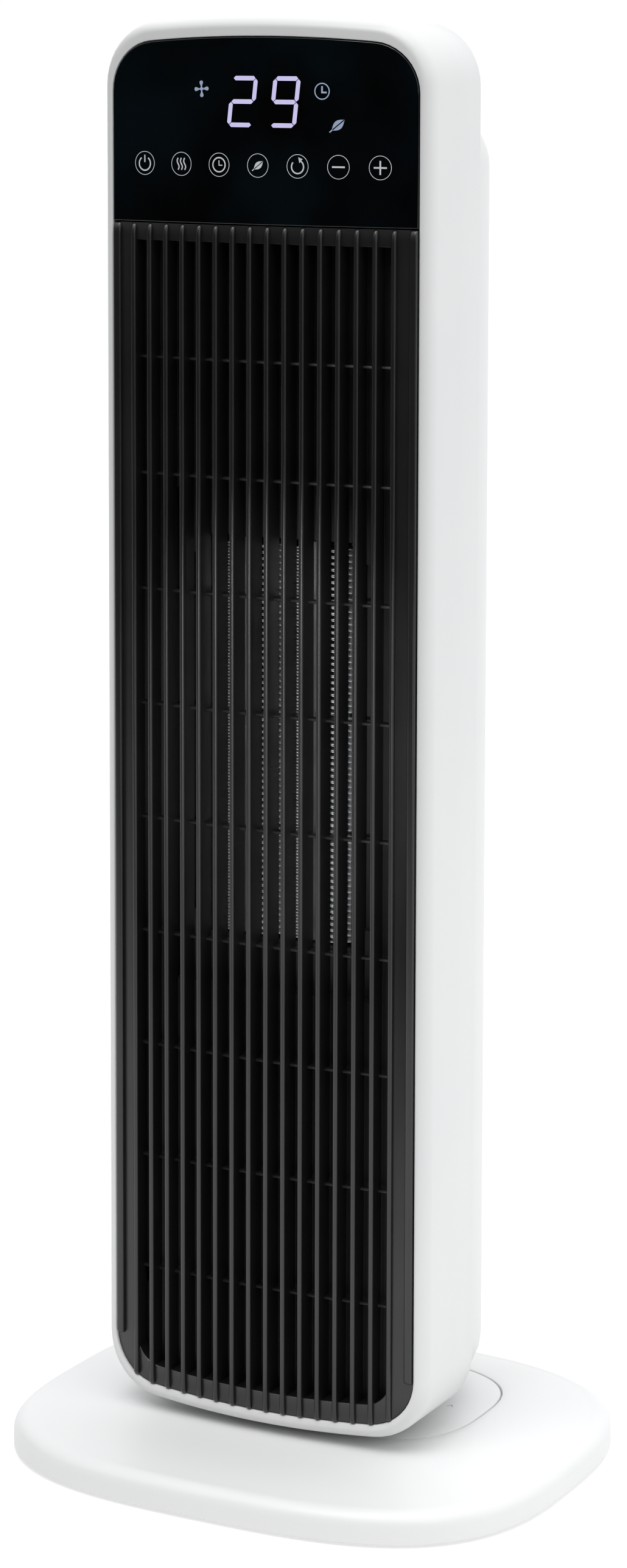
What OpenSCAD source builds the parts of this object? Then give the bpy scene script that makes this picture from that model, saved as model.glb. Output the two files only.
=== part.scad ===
// Ceramic tower heater: a swivelling tower with a touch panel on a rounded base.
// +Z is up, the outlet faces -Y, and the origin is the middle of the base's underside.

/* [Tower] */
// Width of the front shell
tower_w = 163; // [158:1:200]
// Height of the tower's top above the floor
tower_top = 656; // [600:1:800]
// Depth of the tower from the glass to the back
tower_d = 130; // [124:1:160]
// Depth of the front shell
shell_d = 54; // [52:1:62]
// Radius of the bowed front face
face_r = 629; // [400:1:1000]
// Radius of the bowed top and bottom edges
crown_r = 700; // [400:1:1000]
// Radius of the front shell's corners
shell_corner = 28; // [24:1:36]
// Rounding of the front shell's front edge
edge_r = 7; // [4:0.5:8]
// Wall of the moulded housings
wall = 2.5; // [2:0.1:3]
// Width of the white rim beside the glass
rim = 5.8; // [5:0.1:8]
// Height of the white rim above the glass
rim_top = 8.6; // [7:0.1:12]
// Height of the white rim below the grille
rim_low = 7; // [6:0.1:15]
// How much narrower the rear housing is on each side
rear_inset = 3.5; // [3:0.5:10]
// How far the rear housing's top is below the shell's top
shoulder_drop = 36; // [30:1:60]
// Rounding of the rear housing's upper back edge
rear_edge = 22; // [14:1:28]
// Rounding of the rear housing's lower back edge
rear_foot_edge = 6; // [3:0.5:6]

/* [Control panel] */
// Height of the glass
glass_h = 81.8; // [76:0.1:95]
// Thickness of the glass
glass_t = 3; // [2:0.1:4]
// Distance between touch keys
key_pitch = 19.4; // [16:0.1:21]
// Height of the key row above the glass's bottom
key_rise = 26; // [22:0.5:32]
// Radius of a touch spring
touch_r = 4; // [3:0.1:5]
// Width of the lit display
display_w = 66; // [60:1:80]
// Height of the lit display
display_h = 28; // [24:1:32]

/* [Front grille] */
// Number of upright ribs
rib_count = 18; // [16:1:18]
// Distance between ribs
rib_pitch = 8.6; // [7:0.1:8.6]
// Width of a rib
rib_w = 2.5; // [1.8:0.1:3]
// How far the ribs stand proud of the grille's frame
rib_proud = 2; // [1:0.1:3]
// Depth of the grille behind the glass's face
grille_d = 11; // [9:0.5:12]
// Height of the header above the openings
header_h = 8; // [6:0.5:12]
// Height of the footer below the openings
footer_h = 9; // [6:0.5:14]
// Number of crossbars
bar_count = 9; // [6:1:12]
// Height of a crossbar
bar_h = 1.5; // [1:0.1:3]

/* [Base] */
// Width of the base
base_w = 263; // [240:1:330]
// Depth of the base
base_d = 220; // [205:1:280]
// Height of the base's rim where it starts to round over
base_rim = 11; // [9:0.5:14]
// Height of the base's top at the foot plate
base_h = 22; // [19:0.5:26]
// Wall of the base
base_wall = 2.4; // [2:0.1:3]
// How far the rim rounds over
shoulder_r = 6; // [4:0.5:9]
// Squareness of the base's outline
squareness = 3; // [2.6:0.1:4]
// Half width of the foot plate
plate_a = 79.3; // [76:0.1:88]
// Half depth of the foot plate
plate_b = 54; // [52:0.1:62]
// Distance from the glass to the swivel axis
axis_back = 70; // [66:0.5:76]
// How far the base reaches in front of the glass
base_lead = 55.5; // [45:0.5:80]
// Height of the rubber feet
foot_h = 1.5; // [1:0.1:3]
// Radius of the rubber feet
foot_r = 8; // [5:0.5:12]

/* [Swivel] */
// Outer radius of the swivel post
post_r = 20; // [18:0.5:22]
// Bore of the swivel post
post_bore = 13; // [10:0.5:14]
// Radius of the turntable disc
table_r = 46; // [42:0.5:48]
// Gap under the tower
tower_gap = 3.3; // [2:0.1:4]
// Gear module
gear_m = 1.25; // [1:0.05:1.3]
// Teeth of the fixed gear
gear_teeth = 48; // [48:1:50]
// Teeth of the pinion
pinion_teeth = 16; // [15:1:16]
// Width of the gears
gear_w = 6; // [4:0.5:6]

/* [Heater] */
// Width of the ceramic element
element_w = 72; // [60:1:76]
// Height of the ceramic element
element_h = 180; // [150:1:200]
// Depth of the ceramic element
element_d = 15; // [10:0.5:18]
// Distance from the glass to the element
element_front = 24; // [22:0.5:28]
// Width of an element tube
tube_w = 7; // [5:0.5:9]
// Pitch of the fins
fin_pitch = 2.8; // [2:0.1:4]
// Thickness of a fin
fin_t = 0.35; // [0.3:0.05:0.5]
// Half width of the outlet
outlet_a = 50; // [46:1:54]
// Height of the outlet
outlet_h = 224; // [218:1:240]
// Height of the outlet's bottom above the floor
outlet_z = 223; // [220:1:240]

/* [Fan] */
// Radius of the cross-flow impeller
impeller_r = 28; // [22:0.5:28]
// Number of impeller blades
blade_count = 28; // [20:1:36]
// Thickness of a blade
blade_t = 0.8; // [0.6:0.1:1.2]
// Distance from the glass to the impeller's axis
fan_back = 92; // [90:0.2:92]
// Radius of the fan shaft
shaft_r = 3; // [2:0.1:4]
// Radius of the fan motor
motor_r = 30; // [26:0.5:33]
// Height of the fan motor
motor_h = 32; // [28:1:40]

/* [Electronics] */
// Width of the power board
board_w = 90; // [80:1:100]
// Height of the power board
board_h = 88; // [80:1:96]
// Thickness of the circuit boards
board_t = 1.6; // [1.2:0.1:2]
// Height of the rocker switch's middle above the floor
rocker_z = 92; // [86:1:110]
// Height of the cord inlet above the floor
inlet_z = 56; // [54:1:62]
// Bore of the cord inlet bush
inlet_r = 3.75; // [3:0.05:5]

/* [Fits] */
// Running clearance of shafts and the swivel
run = 0.05; // [0.02:0.01:0.1]
// Clearance between pieces that move past each other
gap = 0.3; // [0.3:0.05:0.5]
// Clearance between pieces that are assembled
seat = 0.2; // [0.1:0.05:0.3]
// Radius of the screws' shanks
screw_r = 1.5; // [1.2:0.1:1.5]
// Radius of the screws' heads
head_r = 3; // [2.4:0.1:3]

/* [Hidden] */
$fn = 64;

// The tower's own depths count from the glass's face, which is here on the part's Y axis
front_y = base_lead - base_d / 2;
tower_bottom = base_h + tower_gap;
half_w = tower_w / 2;
open_a = half_w - rim;
open_top = tower_top - rim_top;
open_bottom = tower_bottom + rim_low;
open_corner = shell_corner - rim;
glass_bottom = open_top - glass_h;
lip_back = grille_d + 1;
rear_a = half_w - rear_inset;
rear_b = tower_d - shell_d;
rear_top = tower_top - shoulder_drop;
rear_bottom = tower_bottom + 2;
window_a = (rib_count - 3) / 2 * rib_pitch;
window_bottom = open_bottom + footer_h;
window_top = glass_bottom - header_h;
bar_pitch = (window_top - window_bottom) / (bar_count + 0.9);
key_z = glass_bottom + key_rise;
display_z = open_top - 28.2;
display_x = 3;
duct_front = lip_back + 1;
duct_wall = 2;
duct_back = shell_d + 0.5;
outlet_top = outlet_z + outlet_h;
element_z = outlet_z + (outlet_h - element_h) / 2;
frame_back = element_front + element_d + 3;
tube_x = element_w / 4 - 0.5;
fin_w = tube_x - tube_w / 2 - 0.5;
scroll_r = impeller_r + 3;
scroll_wall = 2;
scroll_lip = 0.5;
end_plate = 4;
blade_rim = 0.4;
blade_share = 0.24;
blade_sweep = 14;
fan_bottom = outlet_z + end_plate + 5;
fan_top = outlet_top - end_plate - 5;
motor_top = outlet_z - 10;
motor_bottom = motor_top - motor_h;
mount_r = motor_r - 8;
bearing_r = shaft_r + run + 2.5;
shaft_top = fan_bottom + 10;
cup_t = 1.5;
board_z = tower_bottom + 55;
board_back = 40;
parts_y = board_back + board_t;
pad_top = tower_bottom + 5;
flange_r = table_r + 9;
seat_r = flange_r + 3;
flange_t = 2.5;
collar_top = pad_top + flange_t + 2.2;
gear_bottom = collar_top + gap;
gear_top = gear_bottom + gear_w;
gear_pitch_r = gear_m * gear_teeth / 2;
pinion_pitch_r = gear_m * pinion_teeth / 2;
pinion_x = gear_pitch_r + pinion_pitch_r;
pressure = 25;
backlash = 0.35;
bracket_z = gear_top + 1;
bracket_t = 2;
swing_r = 14;
axle_r = 2.5;
gear_screw_r = (post_r + post_bore) / 2;
table_screw_r = table_r + 4.5;
cover_gap = 0.7;
ledge = 5;
plate_t = 2.5;
floor_top = foot_h + 2;
slip = 0.05;
hold = 0.02;
pad_z = floor_top + 2.5;
post_foot = 12;
foot_boss_r = 5;
tip_y = -base_d / 2 + 36;
tip_travel = 4;
tip_r = 5;
boss_d = 20;
boss_r = 4.5;
rear_boss_r = 5.5;
head_t = 2;
housing_screw_x = half_w - 15.5;
housing_screw_z = [tower_bottom + 58, (tower_bottom + rear_top) / 2, rear_top - 30];
foot_spots = [35, 90, 145, 215, 270, 325];
rocker_a = 9.5;
rocker_b = 13.5;
rocker_y = tower_d - 4;
rocker_tilt = 8;
rocker_pin = 1.2;
sensor_x = -55;
base_screw_spots = [for (a = [62, 118, 180, 242, 298, 360])
    [(base_w / 2 - 12) * sign(cos(a)) * pow(abs(cos(a)), 2 / squareness),
        (base_d / 2 - 12) * sign(sin(a)) * pow(abs(sin(a)), 2 / squareness)]];
foot_screw_x = 52;
foot_screw_y = 30;
intake_a = 44;
intake_front = shell_d + 20;
intake_bottom = outlet_z - 18;
intake_top = outlet_top + 18;

// Points of an arc about [cx, cy]
function arc(cx, cy, r, a0, a1, n) =
    [for (i = [0:n]) [cx + r * cos(a0 + (a1 - a0) * i / n), cy + r * sin(a0 + (a1 - a0) * i / n)]];

// Right-to-left upper half of a bowed outline of half width a that reaches up to top
function upper_half(a, top, bow, corner, n = 8) =
    let (dy = sqrt(pow(bow - corner, 2) - pow(a - corner, 2)),
        cz = top - bow + dy,
        turn = atan2(dy, a - corner))
    concat(arc(a - corner, cz, corner, 0, turn, n),
        [for (i = [1:2 * n - 1]) let (t = turn + (180 - 2 * turn) * i / (2 * n))
            [bow * cos(t), top - bow + bow * sin(t)]],
        arc(corner - a, cz, corner, 180 - turn, 180, n));

// Upright outline, bowed at the top and the bottom
function outline(a, bottom, top, bow, corner) =
    let (half = upper_half(a, top, bow, corner), last = len(half) - 1)
    concat(half, [for (i = [0:last]) [half[last - i][0], bottom + top - half[last - i][1]]]);

// Rounded-square outline of half sizes a and b
function soft_square(a, b, n = 96) =
    [for (i = [0:n - 1]) let (c = cos(360 * i / n), s = sin(360 * i / n))
        [a * sign(c) * pow(abs(c), 2 / squareness), b * sign(s) * pow(abs(s), 2 / squareness)]];

// Depth of the bowed face at a distance x from the middle
function bow_y(x) = face_r - sqrt(face_r * face_r - x * x);

// Points of the bowed face from x0 to x1, pushed back by d
function face_line(x0, x1, d, n = 24) =
    [for (i = [0:n]) let (x = x0 + (x1 - x0) * i / n) [x, bow_y(x) + d]];

// Half oval of the rear housing, in plan
function back_oval(a, b, n = 32) = [for (i = [0:n]) [a * cos(180 * i / n), shell_d + b * sin(180 * i / n)]];

// Involute of a base circle
function involute(rb, t) = [rb * (cos(t) + t * PI / 180 * sin(t)), rb * (sin(t) - t * PI / 180 * cos(t))];
function roll_to(rb, r) = r <= rb ? 0 : sqrt(pow(r / rb, 2) - 1) * 180 / PI;
function turned(p, a) = [p[0] * cos(a) - p[1] * sin(a), p[0] * sin(a) + p[1] * cos(a)];

// Outline of a spur gear, one tooth centred on +X
function gear_points(teeth) =
    let (rp = gear_m * teeth / 2, rb = rp * cos(pressure), tip = rp + 0.9 * gear_m,
        root = rp - 1.15 * gear_m, start = max(rb, root),
        lead = (tan(pressure) - pressure * PI / 180) * 180 / PI,
        half = 90 / teeth - backlash / 2 / rp * 180 / PI,
        flank = [for (i = [0:4]) let (r = start + (tip - start) * i / 4) involute(rb, roll_to(rb, r))])
    [for (k = [0:teeth - 1]) let (a = 360 * k / teeth)
        each concat([turned([root, 0], a - half - lead)],
            [for (i = [0:4]) turned(flank[i], a - half - lead)],
            [for (i = [4:-1:0]) turned([flank[i][0], -flank[i][1]], a + half + lead)],
            [turned([root, 0], a + half + lead)])];

// Everything on the tower is drawn from the glass's face
module on_tower() {
    translate([0, front_y, 0]) children();
}

// A flat shape in X and Z made solid from depth y0 to y1
module upright(y0, y1) {
    translate([0, y1, 0]) rotate([90, 0, 0]) linear_extrude(y1 - y0) children();
}

// A flat shape in X and Y made solid from height z0 to z1
module flat(z0, z1) {
    translate([0, 0, z0]) linear_extrude(z1 - z0) children();
}

// A flat shape in Y and Z made solid across the whole width
module side_shape(a) {
    translate([-a, 0, 0]) rotate([90, 0, 90]) linear_extrude(2 * a) children();
}

// A rod along +Z
module rod(x, y, z0, z1, r) {
    translate([x, y, z0]) cylinder(h = z1 - z0, r = r);
}

// A rod along +Y
module rod_y(x, z, y0, y1, r) {
    translate([x, y1, z]) rotate([90, 0, 0]) cylinder(h = y1 - y0, r = r);
}

// A block from one corner to the other
module block(low, high) {
    translate(low) cube([for (i = [0:2]) high[i] - low[i]]);
}

// Plan of the front shell, bowed in front and square behind
module shell_plan(inset, front) {
    half = upper_half(half_w - inset, -front, face_r - inset, edge_r - min(inset, edge_r - 1));
    polygon(concat([for (p = half) [p[0], -p[1]]], [[inset - half_w, shell_d], [half_w - inset, shell_d]]));
}

// Side view of the front shell, with its front edges rounded
module shell_side() {
    polygon(concat([[shell_d, tower_bottom - 1]],
        [for (p = arc(edge_r, tower_bottom + edge_r, edge_r, 270, 180, 8)) p],
        [for (p = arc(edge_r, tower_top - edge_r, edge_r, 180, 90, 8)) p],
        [[shell_d, tower_top + 1]]));
}

// Side view of the rear housing, with its back edges rounded and its back this far behind the shell
module rear_side(inset, reach) {
    foot_r = max(rear_foot_edge - inset, 0.5);
    polygon(concat([[-tower_d, rear_bottom + inset]],
        arc(reach - foot_r, rear_bottom + inset + foot_r, foot_r, 270, 360, 6),
        arc(reach + inset - rear_edge, rear_top - rear_edge, rear_edge - inset, 0, 90, 8),
        [[-tower_d, rear_top - inset]]));
}

// The same side view, seen from a direction turned about the upright axis
module rear_round(inset, turn) {
    translate([0, shell_d, 0]) rotate([0, 0, turn]) side_shape(tower_w)
        rear_side(inset, norm([(rear_a - inset) * sin(turn), (rear_b - inset) * cos(turn)]));
}

// The rear housing's solid shape, drawn in by inset
module rear_form(inset) {
    intersection() {
        upright(shell_d - 0.01 * inset, tower_d - inset)
            polygon(outline(rear_a - inset, rear_bottom + inset, rear_top - inset, crown_r - inset,
                shell_corner - inset));
        flat(rear_bottom, rear_top) polygon(back_oval(rear_a - inset, rear_b - inset));
        rear_round(inset, -60);
        rear_round(inset, -30);
        rear_round(inset, 0);
        rear_round(inset, 30);
        rear_round(inset, 60);
    }
}

// The hole in the tower's floor that takes the turntable's disc
module table_hole() {
    rod(0, axis_back, tower_bottom - 2, tower_top / 4, table_r + seat);
}

// Room for the turntable's flange
module flange_room() {
    rod(0, axis_back, pad_top, pad_top + flange_t + seat, flange_r + seat);
}

module table_screw_holes() {
    for (a = [30:60:330])
        rod(table_screw_r * cos(a), axis_back + table_screw_r * sin(a), tower_bottom - 1, pad_top + 1,
            screw_r + slip);
}

module front_shell() {
    color("white") on_tower() difference() {
        union() {
            difference() {
                intersection() {
                    upright(0, shell_d)
                        polygon(outline(half_w, tower_bottom, tower_top, crown_r, shell_corner));
                    flat(tower_bottom - 1, tower_top + 1) shell_plan(0, 0);
                    side_shape(half_w) shell_side();
                }
                upright(lip_back, shell_d - wall) polygon(outline(half_w - wall, tower_bottom + wall,
                    tower_top - wall, crown_r - wall, shell_corner - wall));
            }
            intersection() {
                upright(lip_back, shell_d) polygon(outline(half_w - 1, tower_bottom + 1, tower_top - 1,
                    crown_r, shell_corner));
                rod(0, axis_back, tower_bottom, pad_top, seat_r);
            }
            for (x = [-1, 1], z = housing_screw_z) {
                rod_y(x * housing_screw_x, z, shell_d - boss_d, shell_d, boss_r);
                block([min(x * housing_screw_x, x * (half_w - 1)), shell_d - boss_d, z - 1],
                    [max(x * housing_screw_x, x * (half_w - 1)), shell_d - 1, z + 1]);
            }
        }
        upright(-2, lip_back + 1)
            polygon(outline(open_a, open_bottom, open_top, crown_r - rim, open_corner));
        difference() {
            upright(shell_d - wall - 1, shell_d + 1) polygon(outline(rear_a - wall, rear_bottom + wall,
                rear_top - wall, crown_r - wall, shell_corner - wall));
            for (x = [-1, 1], z = housing_screw_z)
                rod_y(x * housing_screw_x, z, shell_d - boss_d, shell_d, boss_r);
            rod(0, axis_back, tower_bottom, pad_top, seat_r);
        }
        table_hole();
        flange_room();
        table_screw_holes();
        for (x = [-1, 1], z = housing_screw_z)
            rod_y(x * housing_screw_x, z, shell_d - 16, shell_d + 1, screw_r + slip);
    }
}

module rear_housing() {
    color("white") on_tower() difference() {
        union() {
            difference() {
                rear_form(0);
                rear_form(wall);
            }
            intersection() {
                rear_form(0);
                union() {
                    rod(0, axis_back, rear_bottom, pad_top, seat_r);
                    for (x = [-1, 1], z = housing_screw_z)
                        rod_y(x * housing_screw_x, z, shell_d, tower_d, rear_boss_r);
                }
            }
        }
        upright(intake_front, tower_d + 1) translate([-intake_a, intake_bottom])
            square([2 * intake_a, intake_top - intake_bottom]);
        block([-rocker_a, tower_d - 12, rocker_z - rocker_b], [rocker_a, tower_d + 1, rocker_z + rocker_b]);
        rod_y(0, inlet_z, tower_d - 12, tower_d + 1, inlet_r + 3);
        table_hole();
        flange_room();
        table_screw_holes();
        for (x = [-1, 1], z = housing_screw_z) {
            rod_y(x * housing_screw_x, z, shell_d + 5, tower_d + 1, head_r + 1);
            rod_y(x * housing_screw_x, z, shell_d - 1, shell_d + 6, screw_r + slip);
        }
    }
}

// Plan of a sheet that follows the bowed face, between two depths
module face_sheet(a, front, back) {
    polygon(concat(face_line(-a, a, front), face_line(a, -a, back)));
}

// Plan of a body that is bowed in front and flat behind
module face_body(a, front, back) {
    polygon(concat(face_line(-a, a, front), [[a, back], [-a, back]]));
}

module front_grille() {
    a = open_a - seat;
    bottom = open_bottom + seat;
    top = glass_bottom - seat;
    color("#26282a") on_tower() {
        intersection() {
            upright(-rib_proud, grille_d)
                polygon(outline(a, bottom, open_top, crown_r - rim, open_corner - seat));
            union() {
                difference() {
                    flat(bottom - 1, top) face_body(a, rib_proud / 2, grille_d);
                    intersection() {
                        upright(-1, grille_d + 1) polygon(outline(window_a, window_bottom, open_top,
                            crown_r - rim - footer_h, open_corner - footer_h));
                        flat(0, window_top) square([tower_w, 2 * grille_d + 4], center = true);
                    }
                }
                for (i = [1:rib_count - 2]) {
                    x = (i - (rib_count - 1) / 2) * rib_pitch;
                    block([x - rib_w / 2, bow_y(x) - rib_proud / 2, bottom - 1],
                        [x + rib_w / 2, grille_d - 1, top]);
                }
                for (i = [0:bar_count - 1]) {
                    z = window_bottom + (i + 0.9) * bar_pitch - bar_h / 2;
                    flat(z, z + bar_h) face_body(window_a + 1, 4.5, grille_d - 1.5);
                }
            }
        }
        for (s = [-1, 1]) {
            x = s * (rib_count - 1) / 2 * rib_pitch;
            block([min(x - s * rib_w / 2, s * a), bow_y(x) - rib_proud / 2, bottom + open_corner],
                [max(x - s * rib_w / 2, s * a), grille_d - 2, top]);
        }
    }
}

module control_glass() {
    color("#050607") on_tower() intersection() {
        upright(-1, lip_back) polygon(outline(open_a - seat, open_bottom, open_top - seat, crown_r - rim,
            open_corner - seat));
        flat(glass_bottom + seat, open_top + 1) face_sheet(open_a - seat, 0, glass_t);
    }
}

module display_carrier() {
    color("#151617") on_tower() difference() {
        union() {
            intersection() {
                upright(0, lip_back) polygon(outline(open_a - 1.5, open_bottom, open_top - 1.5,
                    crown_r - rim, open_corner - 1.5));
                flat(glass_bottom + 2, open_top) face_body(open_a - 1, glass_t + 0.05, lip_back);
            }
            intersection() {
                upright(lip_back, lip_back + 2) polygon(outline(half_w - wall - seat, open_bottom,
                    tower_top - wall - seat, crown_r - wall, shell_corner - wall - seat));
                flat(glass_bottom + 2, tower_top) square([2 * half_w, 200], center = true);
            }
        }
        block([-open_a + 6, lip_back - 0.01, glass_bottom + 5], [open_a - 6, lip_back + 3, open_top - 7]);
        block([display_x - display_w / 2, -1, display_z - display_h / 2],
            [display_x + display_w / 2, lip_back + 1, display_z + display_h / 2]);
        for (k = [-3:3])
            rod_y(k * key_pitch, key_z, -1, lip_back + 1, touch_r + 0.6);
        block([sensor_x - 4.2, -1, display_z - 4.2], [sensor_x + 4.2, lip_back + 1, display_z + 4.2]);
    }
}

module display_module() {
    color("#dfe2f4") on_tower()
        block([display_x - display_w / 2 + seat, glass_t + 2.2, display_z - display_h / 2 + seat],
            [display_x + display_w / 2 - seat, lip_back, display_z + display_h / 2 - seat]);
}

module display_board() {
    color("#1d4d2b") on_tower() block([-open_a + 7, lip_back, glass_bottom + 6],
        [open_a - 7, lip_back + board_t, open_top - 8]);
}

module touch_springs() {
    color("#c9a24a") on_tower() for (k = [-3:3]) difference() {
        rod_y(k * key_pitch, key_z, bow_y(abs(k * key_pitch) + touch_r) + glass_t + 0.1, lip_back, touch_r);
        rod_y(k * key_pitch, key_z, 0, lip_back - 1, touch_r - 0.8);
    }
}

module ir_receiver() {
    color("#101010") on_tower()
        block([sensor_x - 4, lip_back - 5, display_z - 4],
            [sensor_x + 4, lip_back, display_z + 4]);
}

module buzzer() {
    color("#181818") on_tower()
        rod_y(-sensor_x, display_z - 24, lip_back + board_t, lip_back + board_t + 6, 6);
}

module air_duct() {
    color("#3a3c3e") on_tower() difference() {
        union() {
            intersection() {
                upright(duct_front, duct_front + duct_wall) polygon(outline(half_w - wall - seat,
                    tower_bottom + wall + seat, tower_top, crown_r, shell_corner - wall - seat));
                flat(tower_bottom, glass_bottom) square([2 * half_w, 200], center = true);
            }
            block([-outlet_a - duct_wall, duct_front, outlet_z - duct_wall],
                [outlet_a + duct_wall, duct_back, outlet_top + duct_wall]);
            for (x = [-1, 1], z = [board_z + 6, board_z + board_h - 6])
                rod_y(x * (board_w / 2 - 6), z, duct_front, board_back, 3.5);
        }
        block([-outlet_a, 0, outlet_z], [outlet_a, duct_back + 1, outlet_top]);
        for (x = [-1, 1], z = [housing_screw_z[0], housing_screw_z[2]])
            rod_y(x * housing_screw_x, z, 0, shell_d, 5);
        rod(0, axis_back, tower_bottom, collar_top, seat_r + seat);
    }
}

module heater_frame() {
    color("#d8d2c4") on_tower() difference() {
        block([-outlet_a + seat, element_front - 2, outlet_z + seat],
            [outlet_a - seat, frame_back, outlet_top - seat]);
        block([-element_w / 2 - 1, 0, element_z - 1],
            [element_w / 2 + 1, shell_d, element_z + element_h + 1]);
        for (x = [-1, 1]) {
            block([x * tube_x - 3.6, element_front + 5, element_z - 11],
                [x * tube_x + 3.6, shell_d, element_z + 1]);
            block([x * (outlet_a + element_w / 2) / 2 - 3, 0, element_z + 8],
                [x * (outlet_a + element_w / 2) / 2 + 3, element_front + 4, element_z + element_h - 8]);
        }
    }
}

module heater_tubes() {
    color("#c8cbce") on_tower() for (x = [-1, 1] * tube_x) difference() {
        block([x - tube_w / 2, element_front + 1, element_z],
            [x + tube_w / 2, element_front + element_d - 1, element_z + element_h]);
        block([x - tube_w / 2 + 1, element_front + 2, element_z - 1],
            [x + tube_w / 2 - 1, element_front + element_d - 2, element_z + element_h + 1]);
    }
}

// Folded strip of fin between x0 and x1
module fin_strip(x0, x1) {
    folds = 2 * floor(element_h / fin_pitch);
    tip = fin_t * (x1 - x0) / (fin_pitch / 2 + fin_t);
    side = [for (i = [0:folds - 1]) [i % 2 == 0 ? x0 : x1 - tip, element_z + i * fin_pitch / 2]];
    upright(element_front, element_front + element_d)
        polygon(concat(side, [for (i = [folds - 1:-1:0]) [side[i][0] + tip, side[i][1]]]));
}

module heater_fins() {
    color("#b9bcbf") on_tower() for (s = [-1, 1]) {
        fin_strip(s > 0 ? tube_x + tube_w / 2 : -tube_x - tube_w / 2 - fin_w,
            s > 0 ? tube_x + tube_w / 2 + fin_w : -tube_x - tube_w / 2);
        fin_strip(s > 0 ? tube_x - tube_w / 2 - fin_w : -tube_x + tube_w / 2,
            s > 0 ? tube_x - tube_w / 2 : -tube_x + tube_w / 2 + fin_w);
    }
}

module ptc_chips() {
    chip_h = 30;
    color("#4b4640") on_tower() for (s = [-1, 1], k = [0:4]) {
        z = element_z + element_h * (k + 0.5) / 5;
        block([s * tube_x - tube_w / 2 + 1, element_front + 2.5, z - chip_h / 2],
            [s * tube_x + tube_w / 2 - 1, element_front + element_d - 2.5, z + chip_h / 2]);
    }
}

module heater_terminals() {
    color("#b98d3e") on_tower() for (s = [-1, 1])
        block([s * tube_x - 3.2, element_front + 8, element_z - 10],
            [s * tube_x + 3.2, element_front + 8.8, element_z]);
}

module thermal_cutout() {
    color("#b8b8ba") on_tower() {
        rod_y(0, outlet_top - 10, frame_back, frame_back + 8, 7.5);
        block([-3, frame_back + 1, outlet_top - 20], [3, frame_back + 2, outlet_top - 12]);
    }
}

module thermal_fuse() {
    color("#d9c9a0") on_tower() translate([20, frame_back + 2.2, outlet_top - 10])
        rotate([0, 90, 0]) cylinder(h = 14, r = 2);
}

module room_sensor() {
    color("#222222") on_tower()
        translate([-board_w / 2 + 5, parts_y + 2.5, board_z + 6]) sphere(r = 2.5);
}

// Plan of the blower's end plates, a little larger than the wall between them
module blower_plan() {
    translate([0, fan_back]) circle(r = scroll_r + scroll_wall + scroll_lip);
    translate([-outlet_a - duct_wall, duct_back])
        square([2 * (outlet_a + duct_wall), fan_back - duct_back]);
}

module scroll_housing() {
    z0 = outlet_z - duct_wall;
    z1 = outlet_top + duct_wall;
    color("#2d2f31") on_tower() difference() {
        union() {
            flat(z0, z0 + end_plate) blower_plan();
            flat(z1 - end_plate, z1) blower_plan();
            flat(z0, z1) polygon(concat(arc(0, fan_back, scroll_r, 100, 0, 16), [[outlet_a, duct_back]],
                [[outlet_a + duct_wall, duct_back]], arc(0, fan_back, scroll_r + scroll_wall, 0, 100, 16)));
        }
        rod(0, fan_back, z0 - 1, z0 + end_plate + 1, 12);
        rod(0, fan_back, z1 - end_plate - 1, z1 + 1, bearing_r + 3);
        for (a = [30, 150, 270])
            rod(mount_r * cos(a), fan_back + mount_r * sin(a), z0 - 1, z0 + end_plate + 1, 1.8);
    }
}

module vortex_tongue() {
    color("#2d2f31") on_tower() flat(outlet_z + end_plate - duct_wall, outlet_top - end_plate + duct_wall)
        polygon(concat([[-outlet_a, duct_back], [-outlet_a - duct_wall, duct_back]],
            arc(0, fan_back, scroll_r + scroll_wall, 185, 205, 4),
            arc(0, fan_back, scroll_r, 205, 215, 3),
            [[-scroll_r * cos(30), fan_back - scroll_r * sin(30) - 5]]));
}

// One curved blade, in plan
module blade_plan() {
    tip = impeller_r - blade_rim;
    span = impeller_r * blade_share;
    polygon(concat([for (i = [0:4]) let (r = tip - span * i / 4)
            turned([r, 0], blade_sweep * pow(i / 4, 1.5))],
        [for (i = [4:-1:0]) let (r = tip - span * i / 4)
            turned([r, 0], blade_sweep * pow(i / 4, 1.5) + blade_t / r * 180 / PI)]));
}

module impeller() {
    middle = (fan_bottom + fan_top) / 2;
    color("#3b3d40") on_tower() difference() {
        union() {
            for (z = [fan_bottom, middle - 1, fan_top - 2])
                rod(0, fan_back, z, z + 2, impeller_r);
            rod(0, fan_back, fan_bottom - 3, fan_bottom + 12, 7);
            rod(0, fan_back, fan_top - 2, outlet_top + 3, shaft_r);
            translate([0, fan_back, fan_bottom]) linear_extrude(fan_top - fan_bottom)
                for (k = [0:blade_count - 1])
                    rotate([0, 0, 360 * k / blade_count]) blade_plan();
        }
        rod(0, fan_back, fan_bottom - 4, shaft_top, shaft_r + hold);
    }
}

module upper_bearing() {
    color("#a77a3c") on_tower() difference() {
        rod(0, fan_back, outlet_top - end_plate + duct_wall, outlet_top + duct_wall, bearing_r);
        rod(0, fan_back, outlet_top - 10, outlet_top + 10, shaft_r + run);
    }
}

module bearing_rubber() {
    color("#111111") on_tower() difference() {
        rod(0, fan_back, outlet_top - end_plate + duct_wall, outlet_top + duct_wall, bearing_r + 3);
        rod(0, fan_back, outlet_top - 10, outlet_top + 10, bearing_r);
    }
}

module motor_shaft() {
    color("#cfd1d4") on_tower() rod(0, fan_back, motor_bottom - 2, shaft_top, shaft_r);
}

module motor_rotor() {
    color("#8f9296") on_tower() difference() {
        rod(0, fan_back, motor_bottom + 6, motor_top - 6, motor_r - 14);
        rod(0, fan_back, motor_bottom, motor_top, shaft_r + hold);
    }
}

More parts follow.
